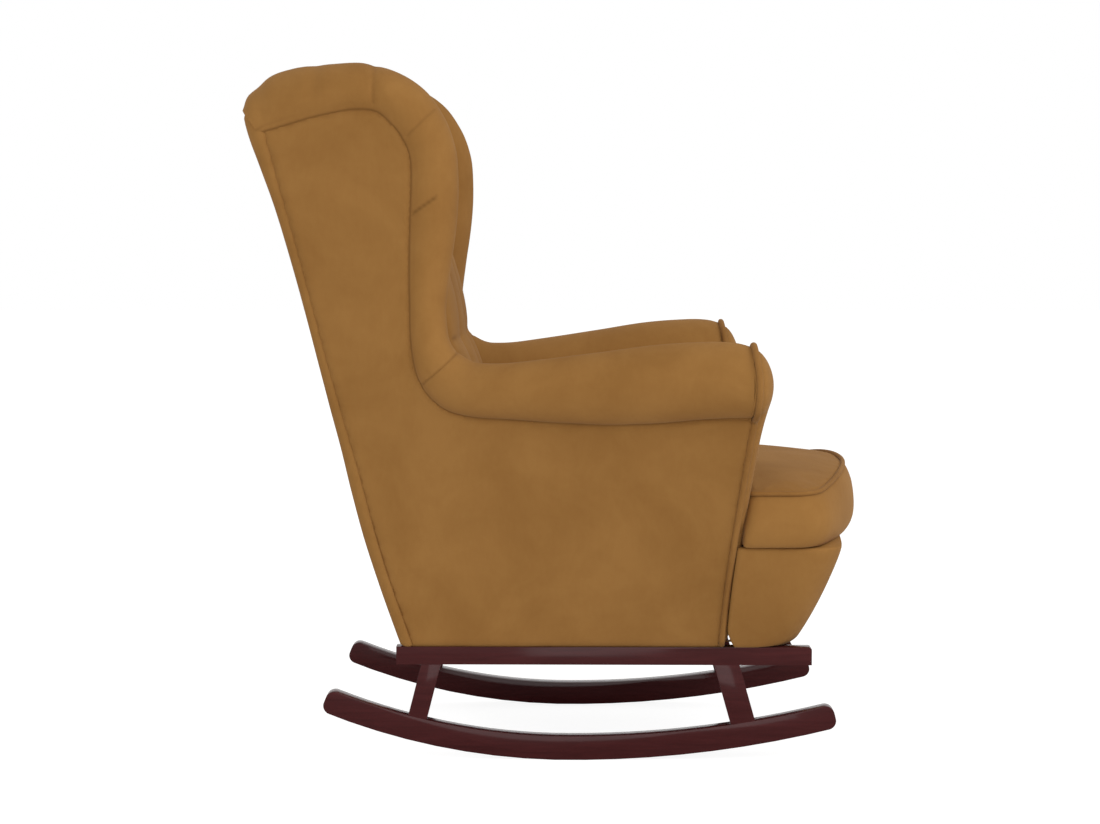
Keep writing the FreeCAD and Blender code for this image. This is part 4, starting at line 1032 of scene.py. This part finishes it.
def make_buttons(velvet):
    """Covered buttons, each a domed disc sunk into the padding."""
    points = []
    faces = []
    for row in BUTTON_ROWS_Z:
        for column in (-BUTTON_COLUMN_X, BUTTON_COLUMN_X):
            rings = []
            for radius, out in BUTTON_PROFILE:
                rings.append([(column + radius * math.cos(angle), back_face(row) - BUTTON_SINK - out,
                               row + radius * math.sin(angle)) for angle in around(BUTTON_SIDES)])
            more_points, more_faces = skin(rings)
            start = len(points)
            points += more_points
            faces += [tuple(start + index for index in face) for face in more_faces]
    piece = new_piece("covered_buttons", points, faces)
    finish_padding(piece, "back_buttons", velvet)


def lifted(point, lift):
    return (point[0], point[1] + lift)


def make_crest(velvet):
    """Padded crest over the top of the back, gathered at the two sewn columns."""
    rings = []
    for x in np.linspace(-CREST_HALF_WIDTH, CREST_HALF_WIDTH, CREST_RINGS):
        gather = math.exp(-((abs(x) - BUTTON_COLUMN_X) / CREST_GATHER_WIDTH) ** 2)
        lift = CREST_LIFT * (1 - CREST_GATHER_DEPTH * gather)
        middle = lifted(CREST_MIDDLE, lift)
        rear = lifted(CREST_REAR, lift)
        front_swell = (CREST_FRONT_SWELL[0] - lift, CREST_FRONT_SWELL[1])
        ring = arc(CREST_FRONT, front_swell, middle, CREST_TOP_POINTS)
        ring += arc(middle, lifted(CREST_TOP, lift), rear, CREST_TOP_POINTS)
        ring += arc(rear, CREST_REAR_SWELL, CREST_FOOT, CREST_REAR_POINTS)
        ring += line_points(CREST_FOOT, CREST_FRONT, CREST_BASE_POINTS)[1:]
        rings.append([(x, y, z) for y, z in ring])
    points, faces = skin(rings)
    crest = new_piece("back_crest_cover", points, faces)
    ruffle(crest, amount=1.2, size=60, seed=10)
    finish_padding(crest, "back_top_roll", velvet)


def bowed_front(half, front, corner, bow):
    """Half of a bowed front seen from above: round the corner and along to the middle."""
    centre_x = half - corner
    reach = bow - corner
    centre_y = front + bow - math.sqrt(reach ** 2 - centre_x ** 2)
    turn = math.asin(centre_x / reach)
    half_corner = (math.pi / 2 - turn) / 2
    meeting = (bow * math.sin(turn), front + bow - bow * math.cos(turn))
    halfway = (bow * math.sin(turn / 2), front + bow - bow * math.cos(turn / 2))
    middle = (centre_x + corner * math.cos(half_corner), centre_y - corner * math.sin(half_corner))
    corner_part = arc((half, centre_y), middle, meeting, CORNER_POINTS)
    return corner_part + arc(meeting, halfway, (0, front), BOW_POINTS)


def both_halves(half, front):
    return half + [(0, front)] + [(-x, y) for x, y in reversed(half)]


def cushion_outline(z, inset):
    """T-shaped outline of the seat cushion from above as (x, y) points."""
    step_y = front_seam_y(z) - CUSHION_EAR_GAP
    ear = CUSHION_EAR_X - inset
    front = CUSHION_FRONT_Y + inset + min(inset, CUSHION_FRONT_DRAW)
    body_front = side_x(step_y, z) - INSIDE_DEPTH - CUSHION_SIDE_GAP
    body_rear = side_x(CUSHION_REAR_Y, z) - INSIDE_DEPTH - CUSHION_SIDE_GAP
    rounding = CUSHION_EAR_ROUNDING
    eased = rounding * (1 - math.sqrt(0.5))
    front_half = bowed_front(ear, front, CUSHION_CORNER, CUSHION_FRONT_RADIUS)
    ear_corner = (ear - eased, step_y - eased)
    half = line_points((body_rear, CUSHION_REAR_Y), (body_front, step_y), CUSHION_SIDE_POINTS)
    half += line_points((body_front, step_y), (ear - rounding, step_y), CUSHION_STEP_POINTS)
    half += arc((ear - rounding, step_y), ear_corner, (ear, step_y - rounding), CUSHION_EAR_POINTS)
    half += line_points((ear, step_y - rounding), front_half[0], CUSHION_EAR_SIDE_POINTS)
    half += front_half
    rear = line_points((-body_rear, CUSHION_REAR_Y), (body_rear, CUSHION_REAR_Y), CUSHION_REAR_POINTS)
    return both_halves(half, front) + rear[1:]


def edge_rise(x, y):
    """How far the front's sewn edge stands above the sides' edge."""
    across = 1 - min(abs(x) / CUSHION_RISE_HALF_WIDTH, 1.0) ** CUSHION_RISE_FLATNESS
    share = min(max((CUSHION_FRONT_Y + CUSHION_RISE_DEPTH - y) / CUSHION_RISE_DEPTH, 0.0), 1.0)
    return CUSHION_FRONT_RISE * across * share * share * (3 - 2 * share)


def make_cushion(velvet):
    """Seat cushion: a boxed side drawn in at its seams, a crowned top, then blown up as cloth."""
    edge_inset = CUSHION_SIDES[-1][1]
    top_outline = cushion_outline(CUSHION_EDGE_Z, edge_inset)
    rim = resampled(top_outline, SPACING)
    size = len(rim)
    all_points = []
    for z, inset in CUSHION_SIDES[:-1]:
        share = max((z - CUSHION_FULLEST_Z) / (CUSHION_EDGE_Z - CUSHION_FULLEST_Z), 0.0)
        for x, y in resampled(cushion_outline(z, inset), SPACING, size):
            all_points.append((x, y, z + share * edge_rise(x, y)))
    faces = []
    rows = len(CUSHION_SIDES) - 1
    for row in range(rows - 1):
        for column in range(size):
            after = (column + 1) % size
            faces.append((row * size + column, row * size + after,
                          (row + 1) * size + after, (row + 1) * size + column))
    faces.append(tuple(reversed(range(size))))
    points, triangles, top_rim, inwards = patch(top_outline, SPACING)
    height = membrane(points, triangles, inwards < CUSHION_RIM_HELD) ** CUSHION_FULLNESS
    crown = CUSHION_START_CROWN
    start = len(all_points)
    for (x, y), rise in zip(points, height):
        all_points.append((x, y, CUSHION_EDGE_Z + crown * rise + edge_rise(x, y) * (1 - rise)))
    faces += [tuple(start + index for index in face) for face in triangles]
    last = (rows - 1) * size
    for column in range(size):
        after = (column + 1) % size
        faces.append((last + column, last + after, start + after, start + column))
    cushion = new_piece("seat_cushion_cover", all_points, faces)
    seam = np.array([(x, y, CUSHION_EDGE_Z + edge_rise(x, y)) for x, y in top_outline + top_outline[:1]])

    def is_held(places):
        foot = places[:, 2] < CUSHION_BOTTOM_Z + CUSHION_FOOT_HELD
        return foot | (distance_to_line(places, seam) < SPACING)

    blown(cushion, is_held, CUSHION_MOST_BLOWN)
    ruffle(cushion, amount=1.2, size=90, seed=11)
    # The top seam is pressed in with painted shade
    press(cushion, [tuple(point) for point in seam], width=3.0, depth=0.8, dark=0.35)
    finish_padding(cushion, "seat_cushion", velvet)


def cord_mesh(path, radius):
    """Round cord along drawn points."""
    path = [np.array(point, float) for point in path]
    rings = []
    reference = np.array((0.0, 0.0, 1.0))
    for index, point in enumerate(path):
        before = path[max(index - 1, 0)]
        after = path[min(index + 1, len(path) - 1)]
        along = (after - before) / np.linalg.norm(after - before)
        across = reference - along * (reference @ along)
        if np.linalg.norm(across) < NEARLY_ALONG:
            across = np.array((1.0, 0.0, 0.0)) - along * along[0]
        across /= np.linalg.norm(across)
        other = np.cross(along, across)
        reference = across
        rings.append([tuple(point + radius * (across * math.cos(angle) + other * math.sin(angle)))
                      for angle in around(CORD_SIDES)])
    return skin(rings)


def make_cushion_piping(piping):
    """Cord along the cushion's top seam, from ear to ear round the front."""
    outline = cushion_outline(CUSHION_EDGE_Z, CUSHION_CORD_INSET)
    rear = front_seam_y(CUSHION_EDGE_Z) - CUSHION_EAR_GAP - CUSHION_CORD_END
    path = [(x, y, CUSHION_EDGE_Z + CUSHION_CORD_RISE + edge_rise(x, y)) for x, y in outline if y < rear]
    points, faces = cord_mesh(path, PIPING_RADIUS)
    cord = new_piece("cushion_cord", points, faces)
    finish_padding(cord, "seat_cushion_piping", piping)


def make_arm_piping(piping):
    """Cord round the arm's front end: up its outer edge, over the roll and down to the cushion."""
    outline = arm_front_outline()
    top = outline[:ROLL_POINTS]
    foot = outline[-ARM_OUTER_EDGE_POINTS:]
    inner_edge = outline[ROLL_POINTS:ROLL_POINTS + ARM_INNER_EDGE_POINTS]
    centre_x = side_x(ARM_FRONT_Y, ARM_SEAM_Z)
    path = [(x + ARM_CORD_OUT, front_seam_y(z) - ARM_CORD_PROUD, z) for x, z in foot]
    for x, z in top:
        away = math.hypot(x - centre_x, z - ARM_ROLL_MIDDLE_Z)
        path.append((x + ARM_CORD_OUT * (x - centre_x) / away, front_seam_y(z) - ARM_CORD_PROUD,
                     z + ARM_CORD_OUT * (z - ARM_ROLL_MIDDLE_Z) / away))
    for x, z in inner_edge:
        if z > CUSHION_EDGE_Z + ARM_CORD_END_UP:
            path.append((x - ARM_CORD_OUT, front_seam_y(z) - ARM_CORD_PROUD, z))
    points, faces = cord_mesh(path, ARM_CORD_RADIUS)
    cord = new_piece("arm_front_cord", points, faces)
    both_sides(cord, "arm_front_piping", piping)


def apron_outline(z, inset):
    """Outline of the apron from above, from one rear edge round the front to the other."""
    half = between(z, RAIL_TOP_Z, CUSHION_BOTTOM_Z, FOOT_HALF_WIDTH, APRON_TOP_HALF_WIDTH) - inset
    front = between(z, RAIL_TOP_Z, CUSHION_BOTTOM_Z, APRON_BOTTOM_FRONT_Y, APRON_TOP_FRONT_Y) + inset
    low = max(RAIL_TOP_Z + APRON_EDGE - z, 0) / APRON_EDGE
    foot = max(APRON_FOOT_TOP_Z - z, 0) / (APRON_FOOT_TOP_Z - RAIL_TOP_Z)
    rear = front_seam_y(z) - APRON_REAR_GAP - APRON_FOOT_EASE * foot * foot
    front = front + APRON_EDGE * (1 - math.sqrt(1 - low * low))
    front_half = bowed_front(half, front, APRON_CORNER, APRON_FRONT_RADIUS)
    return both_halves(line_points((half, rear), front_half[0], APRON_SIDE_POINTS) + front_half, front)


def make_apron(velvet):
    """Padded cover round the front block: an outer face, a rounded edge and an inner face."""
    rings = []
    edge_top = RAIL_TOP_Z + APRON_EDGE
    levels = list(np.linspace(RAIL_TOP_Z, edge_top, APRON_EDGE_LEVELS))
    levels += list(np.linspace(edge_top + APRON_LEVEL_GAP, CUSHION_BOTTOM_Z - APRON_TOP_GAP, APRON_LEVELS))
    for z in levels:
        share = between(z, RAIL_TOP_Z, CUSHION_BOTTOM_Z, 0.0, 1.0)
        swell = APRON_SWELL * math.sqrt(math.sin(math.pi * share))
        outer = apron_outline(z, -swell)
        inner = apron_outline(z, APRON_COVER)
        rings.append([(x, y, z) for x, y in outer] + [(x, y, z) for x, y in reversed(inner)])
    points, faces = skin(rings)
    apron = new_piece("seat_apron_cover", points, faces)
    ruffle(apron, amount=1.0, size=90, seed=12)
    finish_padding(apron, "seat_apron", velvet)


# Timber


def soften(name, lacquer):
    """Copy of a wooden node with its corners eased, in its place."""
    source = frame["nodes"][name]
    mesh = source.data.copy()
    mesh.name = name + "_eased"
    mesh.transform(source.matrix_world)
    piece = bpy.data.objects.new(name + "_eased", mesh)
    bpy.context.scene.collection.objects.link(piece)
    make_active(piece)
    bpy.ops.object.mode_set(mode="EDIT")
    bpy.ops.mesh.select_all(action="SELECT")
    bpy.ops.mesh.remove_doubles(threshold=MERGE_DISTANCE)
    bpy.ops.mesh.dissolve_limited(angle_limit=math.radians(TIMBER_FLAT_DEGREES))
    bpy.ops.mesh.normals_make_consistent(inside=False)
    bpy.ops.object.mode_set(mode="OBJECT")
    eased = piece.modifiers.new("eased", "BEVEL")
    eased.width = TIMBER_EASE * MM
    eased.segments = 2
    eased.limit_method = "ANGLE"
    eased.angle_limit = math.radians(TIMBER_CORNER_DEGREES)
    bpy.ops.object.modifier_apply(modifier="eased")
    bpy.ops.object.shade_smooth_by_angle(angle=math.radians(TIMBER_SMOOTH_DEGREES))
    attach(piece, "root")
    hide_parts(name)
    piece.data.materials.clear()
    piece.data.materials.append(lacquer)


# Materials


def set_inputs(item, **values):
    """Sets a shader node's inputs by name, with _ for a space."""
    for name, value in values.items():
        item.inputs[name.replace("_", " ")].default_value = value


def node(tree, kind, **values):
    made = tree.nodes.new(kind)
    set_inputs(made, **values)
    return made


def new_group(name, inputs, outputs):
    """Shader node group with a coordinate input, sizes and values out."""
    group = bpy.data.node_groups.new(name, "ShaderNodeTree")
    group.interface.new_socket("Vector", in_out="INPUT", socket_type="NodeSocketVector")
    for socket in inputs:
        group.interface.new_socket(socket, in_out="INPUT", socket_type="NodeSocketFloat")
    for socket in outputs:
        group.interface.new_socket(socket, in_out="OUTPUT", socket_type="NodeSocketFloat")
    return group, group.nodes.new("NodeGroupInput"), group.nodes.new("NodeGroupOutput")


def make_nap_group():
    """Velvet nap: soft mottling, short streaks along the pile and a fine bump height."""
    group, enter, leave = new_group("velvet_nap", ("Patch Size", "Nap Size"), ("Mottle", "Height"))
    join = group.links.new
    broad = node(group, "ShaderNodeTexNoise", Detail=5.0, Roughness=0.62, Distortion=0.4)
    fine = node(group, "ShaderNodeTexNoise", Detail=3.0, Roughness=0.6)
    streak_stretch = node(group, "ShaderNodeMapping", Scale=STREAK_STRETCH)
    streaks = node(group, "ShaderNodeTexNoise", Scale=STREAK_SCALE, Detail=2.0, Roughness=0.5)
    join(enter.outputs["Vector"], broad.inputs["Vector"])
    join(enter.outputs["Patch Size"], broad.inputs["Scale"])
    join(enter.outputs["Vector"], fine.inputs["Vector"])
    join(enter.outputs["Nap Size"], fine.inputs["Scale"])
    join(enter.outputs["Vector"], streak_stretch.inputs["Vector"])
    join(streak_stretch.outputs["Vector"], streaks.inputs["Vector"])
    broad_part = group.nodes.new("ShaderNodeMath")
    broad_part.operation = "MULTIPLY"
    broad_part.inputs[1].default_value = BROAD_SHARE
    join(broad.outputs["Fac"], broad_part.inputs[0])
    mottle = group.nodes.new("ShaderNodeMath")
    mottle.operation = "MULTIPLY_ADD"
    mottle.inputs[1].default_value = STREAK_SHARE
    join(streaks.outputs["Fac"], mottle.inputs[0])
    join(broad_part.outputs["Value"], mottle.inputs[2])
    join(mottle.outputs["Value"], leave.inputs["Mottle"])
    join(fine.outputs["Fac"], leave.inputs["Height"])
    return group


def make_cloth(name, nap, light, dark, seam_shade_colour):
    """Napped cloth: colour mottled between two tones, mixed towards a painted seam shade where the crease
    mask is high.
    """
    material, tree, shader = new_material(name)
    set_inputs(shader, Roughness=0.92, Specular_IOR_Level=0.12, Sheen_Weight=0.07, Sheen_Roughness=0.45,
               Sheen_Tint=(0.95, 0.78, 0.6, 1.0))
    texture = placed_group(tree, nap, Patch_Size=PATCH_SIZE, Nap_Size=NAP_SIZE)
    mottled = two_tone(tree, texture.outputs["Mottle"], dark, light, low=0.36, high=0.64)
    shade_mask = tree.nodes.new("ShaderNodeAttribute")
    shade_mask.attribute_name = "crease_shade"
    shaded_colour = tree.nodes.new("ShaderNodeMix")
    shaded_colour.data_type = "RGBA"
    set_inputs(shaded_colour, B=(*seam_shade_colour, 1))
    tree.links.new(shade_mask.outputs["Fac"], shaded_colour.inputs["Factor"])
    tree.links.new(mottled, shaded_colour.inputs["A"])
    tree.links.new(shaded_colour.outputs["Result"], shader.inputs["Base Color"])
    add_bump(tree, texture.outputs["Height"], shader, strength=0.18, distance=0.0006)
    return material


# Each cloth's seam colour is painted shade, laid into its pressed grooves, seams and folds
def ochre_velvet(nap):
    return make_cloth("ochre_velvet", nap, light=(0.322, 0.158, 0.044), dark=(0.275, 0.130, 0.034),
                      seam_shade_colour=(0.125, 0.052, 0.013))


def ochre_cord(nap):
    return make_cloth("ochre_cord", nap, light=(0.300, 0.145, 0.040), dark=(0.235, 0.108, 0.028),
                      seam_shade_colour=(0.10, 0.042, 0.010))


def felt_pad(nap):
    return make_cloth("felt_pad", nap, light=(0.72, 0.68, 0.55), dark=(0.6, 0.56, 0.45),
                      seam_shade_colour=(0.3, 0.28, 0.2))


def black_lining(nap):
    return make_cloth("black_lining", nap, light=(0.012, 0.012, 0.012), dark=(0.007, 0.007, 0.007),
                      seam_shade_colour=(0, 0, 0))


def elastic_webbing(nap):
    return make_cloth("elastic_webbing", nap, light=(0.14, 0.10, 0.06), dark=(0.09, 0.065, 0.04),
                      seam_shade_colour=(0.02, 0.02, 0.01))


def make_grain_group():
    """Fine straight grain along Y with slow colour drift."""
    group, enter, leave = new_group("wood_grain", ("Stretch",), ("Grain",))
    stretch = node(group, "ShaderNodeMapping", Scale=GRAIN_STRETCH)
    lines = node(group, "ShaderNodeTexNoise", Detail=6.0, Roughness=0.65, Distortion=0.6)
    group.links.new(enter.outputs["Vector"], stretch.inputs["Vector"])
    group.links.new(stretch.outputs["Vector"], lines.inputs["Vector"])
    group.links.new(enter.outputs["Stretch"], lines.inputs["Scale"])
    group.links.new(lines.outputs["Fac"], leave.inputs["Grain"])
    return group


def new_material(name):
    material = bpy.data.materials.new(name)
    material.use_nodes = True
    tree = material.node_tree
    return material, tree, tree.nodes["Principled BSDF"]


def placed_group(tree, group, **values):
    """A node group read in the piece's own coordinates."""
    place = tree.nodes.new("ShaderNodeTexCoord")
    texture = tree.nodes.new("ShaderNodeGroup")
    texture.node_tree = group
    set_inputs(texture, **values)
    tree.links.new(place.outputs["Object"], texture.inputs["Vector"])
    return texture


def two_tone(tree, share, dark, light, low, high):
    """Colour that runs from a dark tone to a light one between two values of a share."""
    ramp = tree.nodes.new("ShaderNodeValToRGB")
    for stop, place, colour in zip(ramp.color_ramp.elements, (low, high), (dark, light)):
        stop.position = place
        stop.color = (*colour, 1)
    tree.links.new(share, ramp.inputs["Fac"])
    return ramp.outputs["Color"]


def add_bump(tree, height, shader, strength, distance):
    bump = node(tree, "ShaderNodeBump", Strength=strength, Distance=distance)
    tree.links.new(height, bump.inputs["Height"])
    tree.links.new(bump.outputs["Normal"], shader.inputs["Normal"])


def make_grained(name, grain, dark, light, roughness, coat, metallic=0.0):
    """Material with a fine straight grain under a thin coat, which shines only at a flat angle."""
    material, tree, shader = new_material(name)
    set_inputs(shader, Roughness=roughness, Metallic=metallic, Specular_IOR_Level=0.03, Coat_Weight=coat,
               Coat_Roughness=0.12, Coat_IOR=1.2)
    texture = placed_group(tree, grain, Stretch=GRAIN_SCALE)
    tone = two_tone(tree, texture.outputs["Grain"], dark, light, low=0.35, high=0.7)
    tree.links.new(tone, shader.inputs["Base Color"])
    add_bump(tree, texture.outputs["Grain"], shader, strength=0.06, distance=0.0003)
    return material


def mahogany_lacquer(grain):
    return make_grained("mahogany_lacquer", grain, dark=(0.048, 0.0088, 0.0092),
                        light=(0.068, 0.0130, 0.0135), roughness=0.42, coat=1.0)


def raw_timber(grain):
    return make_grained("raw_timber", grain, dark=(0.45, 0.29, 0.15), light=(0.62, 0.43, 0.25),
                        roughness=0.7, coat=0.0)


def zinc_steel(grain):
    return make_grained("zinc_steel", grain, dark=(0.45, 0.45, 0.47), light=(0.6, 0.6, 0.62),
                        roughness=0.35, coat=0.0, metallic=1.0)


def dress_nodes(materials):
    """Gives each shown construction piece the finish of its record slot."""
    slots = {entry["node"]: entry["material_slot"] for entry in frame["record"]["subparts"]}
    for name, shown in frame["nodes"].items():
        shown.data.materials.clear()
        shown.data.materials.append(materials[slots[name]])


# Stage, light and camera


def make_stage():
    """White floor that glows for the camera alone and keeps the chair's shadow."""
    clear_selection()
    bpy.ops.mesh.primitive_plane_add(size=FLOOR_SIZE, location=(0, 0, 0))
    floor = bpy.context.object
    floor.name = "floor"
    material = bpy.data.materials.new("floor_white")
    material.use_nodes = True
    tree = material.node_tree
    tree.nodes.clear()
    out = tree.nodes.new("ShaderNodeOutputMaterial")
    plain = node(tree, "ShaderNodeBsdfDiffuse", Color=FLOOR_COLOUR)
    seen = node(tree, "ShaderNodeBsdfDiffuse", Color=FLOOR_SHADOW_COLOUR)
    glow = node(tree, "ShaderNodeEmission", Color=(1, 1, 1, 1), Strength=FLOOR_GLOW)
    both = tree.nodes.new("ShaderNodeAddShader")
    mix = tree.nodes.new("ShaderNodeMixShader")
    path = tree.nodes.new("ShaderNodeLightPath")
    tree.links.new(seen.outputs[0], both.inputs[0])
    tree.links.new(glow.outputs[0], both.inputs[1])
    tree.links.new(path.outputs["Is Camera Ray"], mix.inputs[0])
    tree.links.new(plain.outputs[0], mix.inputs[1])
    tree.links.new(both.outputs[0], mix.inputs[2])
    tree.links.new(mix.outputs[0], out.inputs["Surface"])
    floor.data.materials.append(material)


def make_world():
    """Soft sky that looks white to the camera and in reflections."""
    world = bpy.data.worlds.new("studio")
    bpy.context.scene.world = world
    world.use_nodes = True
    tree = world.node_tree
    tree.nodes.clear()
    out = tree.nodes.new("ShaderNodeOutputWorld")
    soft = node(tree, "ShaderNodeBackground", Color=SKY_COLOUR, Strength=SKY_STRENGTH)
    seen = node(tree, "ShaderNodeBackground", Color=(1, 1, 1, 1), Strength=1.0)
    path = tree.nodes.new("ShaderNodeLightPath")
    most = tree.nodes.new("ShaderNodeMath")
    most.operation = "MAXIMUM"
    mix = tree.nodes.new("ShaderNodeMixShader")
    tree.links.new(path.outputs["Is Camera Ray"], most.inputs[0])
    tree.links.new(path.outputs["Is Glossy Ray"], most.inputs[1])
    tree.links.new(most.outputs[0], mix.inputs[0])
    tree.links.new(soft.outputs[0], mix.inputs[1])
    tree.links.new(seen.outputs[0], mix.inputs[2])
    tree.links.new(mix.outputs[0], out.inputs["Surface"])


def softbox(name, place, target, size, power):
    data = bpy.data.lights.new(name, "AREA")
    data.size = size
    data.energy = power
    lamp = bpy.data.objects.new(name, data)
    bpy.context.scene.collection.objects.link(lamp)
    lamp.location = place
    lamp.rotation_mode = "QUATERNION"
    lamp.rotation_quaternion = (Vector(target) - Vector(place)).to_track_quat("-Z", "Y")


def make_camera():
    """Camera turned so that lines running straight away meet at the measured depth point."""
    data = bpy.data.cameras.new("photo_camera")
    data.sensor_width = SENSOR_WIDTH
    data.lens = SENSOR_WIDTH * FOCAL_PIXELS / PHOTO_SIZE[0]
    camera = bpy.data.objects.new("photo_camera", data)
    bpy.context.scene.collection.objects.link(camera)
    pitch = math.atan((PHOTO_SIZE[1] / 2 - DEPTH_POINT[1]) / FOCAL_PIXELS)
    turn = math.atan((DEPTH_POINT[0] - PHOTO_SIZE[0] / 2) / FOCAL_PIXELS)
    level = math.cos(pitch)
    ahead = Vector((level * math.cos(turn), level * math.sin(turn), -math.sin(pitch)))
    camera.location = CAMERA_PLACE
    camera.rotation_mode = "QUATERNION"
    camera.rotation_quaternion = ahead.to_track_quat("-Z", "Y")
    bpy.context.scene.camera = camera


bpy.context.scene.view_settings.view_transform = "Standard"
make_camera()
make_stage()
make_world()
for lamp_name, lamp_place, lamp_target, lamp_size, lamp_power in SOFTBOXES:
    softbox(lamp_name, lamp_place, lamp_target, lamp_size, lamp_power)

nap_group = make_nap_group()
grain_group = make_grain_group()
velvet = ochre_velvet(nap_group)
piping = ochre_cord(nap_group)
lacquer = mahogany_lacquer(grain_group)
dress_nodes({
    "dark_wood": lacquer, "frame_wood": raw_timber(grain_group), "steel": zinc_steel(grain_group),
    "velvet": velvet, "piping": piping, "foam": felt_pad(nap_group), "cover_cloth": black_lining(nap_group),
    "webbing": elastic_webbing(nap_group),
})

for timber_name in EASED_NODES:
    soften("left_" + timber_name, lacquer)
    soften("right_" + timber_name, lacquer)
for timber_name in EASED_CROSS_NODES:
    soften(timber_name, lacquer)
make_outside_panel(velvet)
make_arm_roll(velvet)
make_wing_roll(velvet)
make_arm_front(velvet)
make_inside_arm(velvet)
make_inside_wing(velvet)
make_outside_back(velvet)
make_inside_back(velvet)
make_buttons(velvet)
make_crest(velvet)
make_cushion(velvet)
make_cushion_piping(piping)
make_arm_piping(piping)
make_apron(velvet)
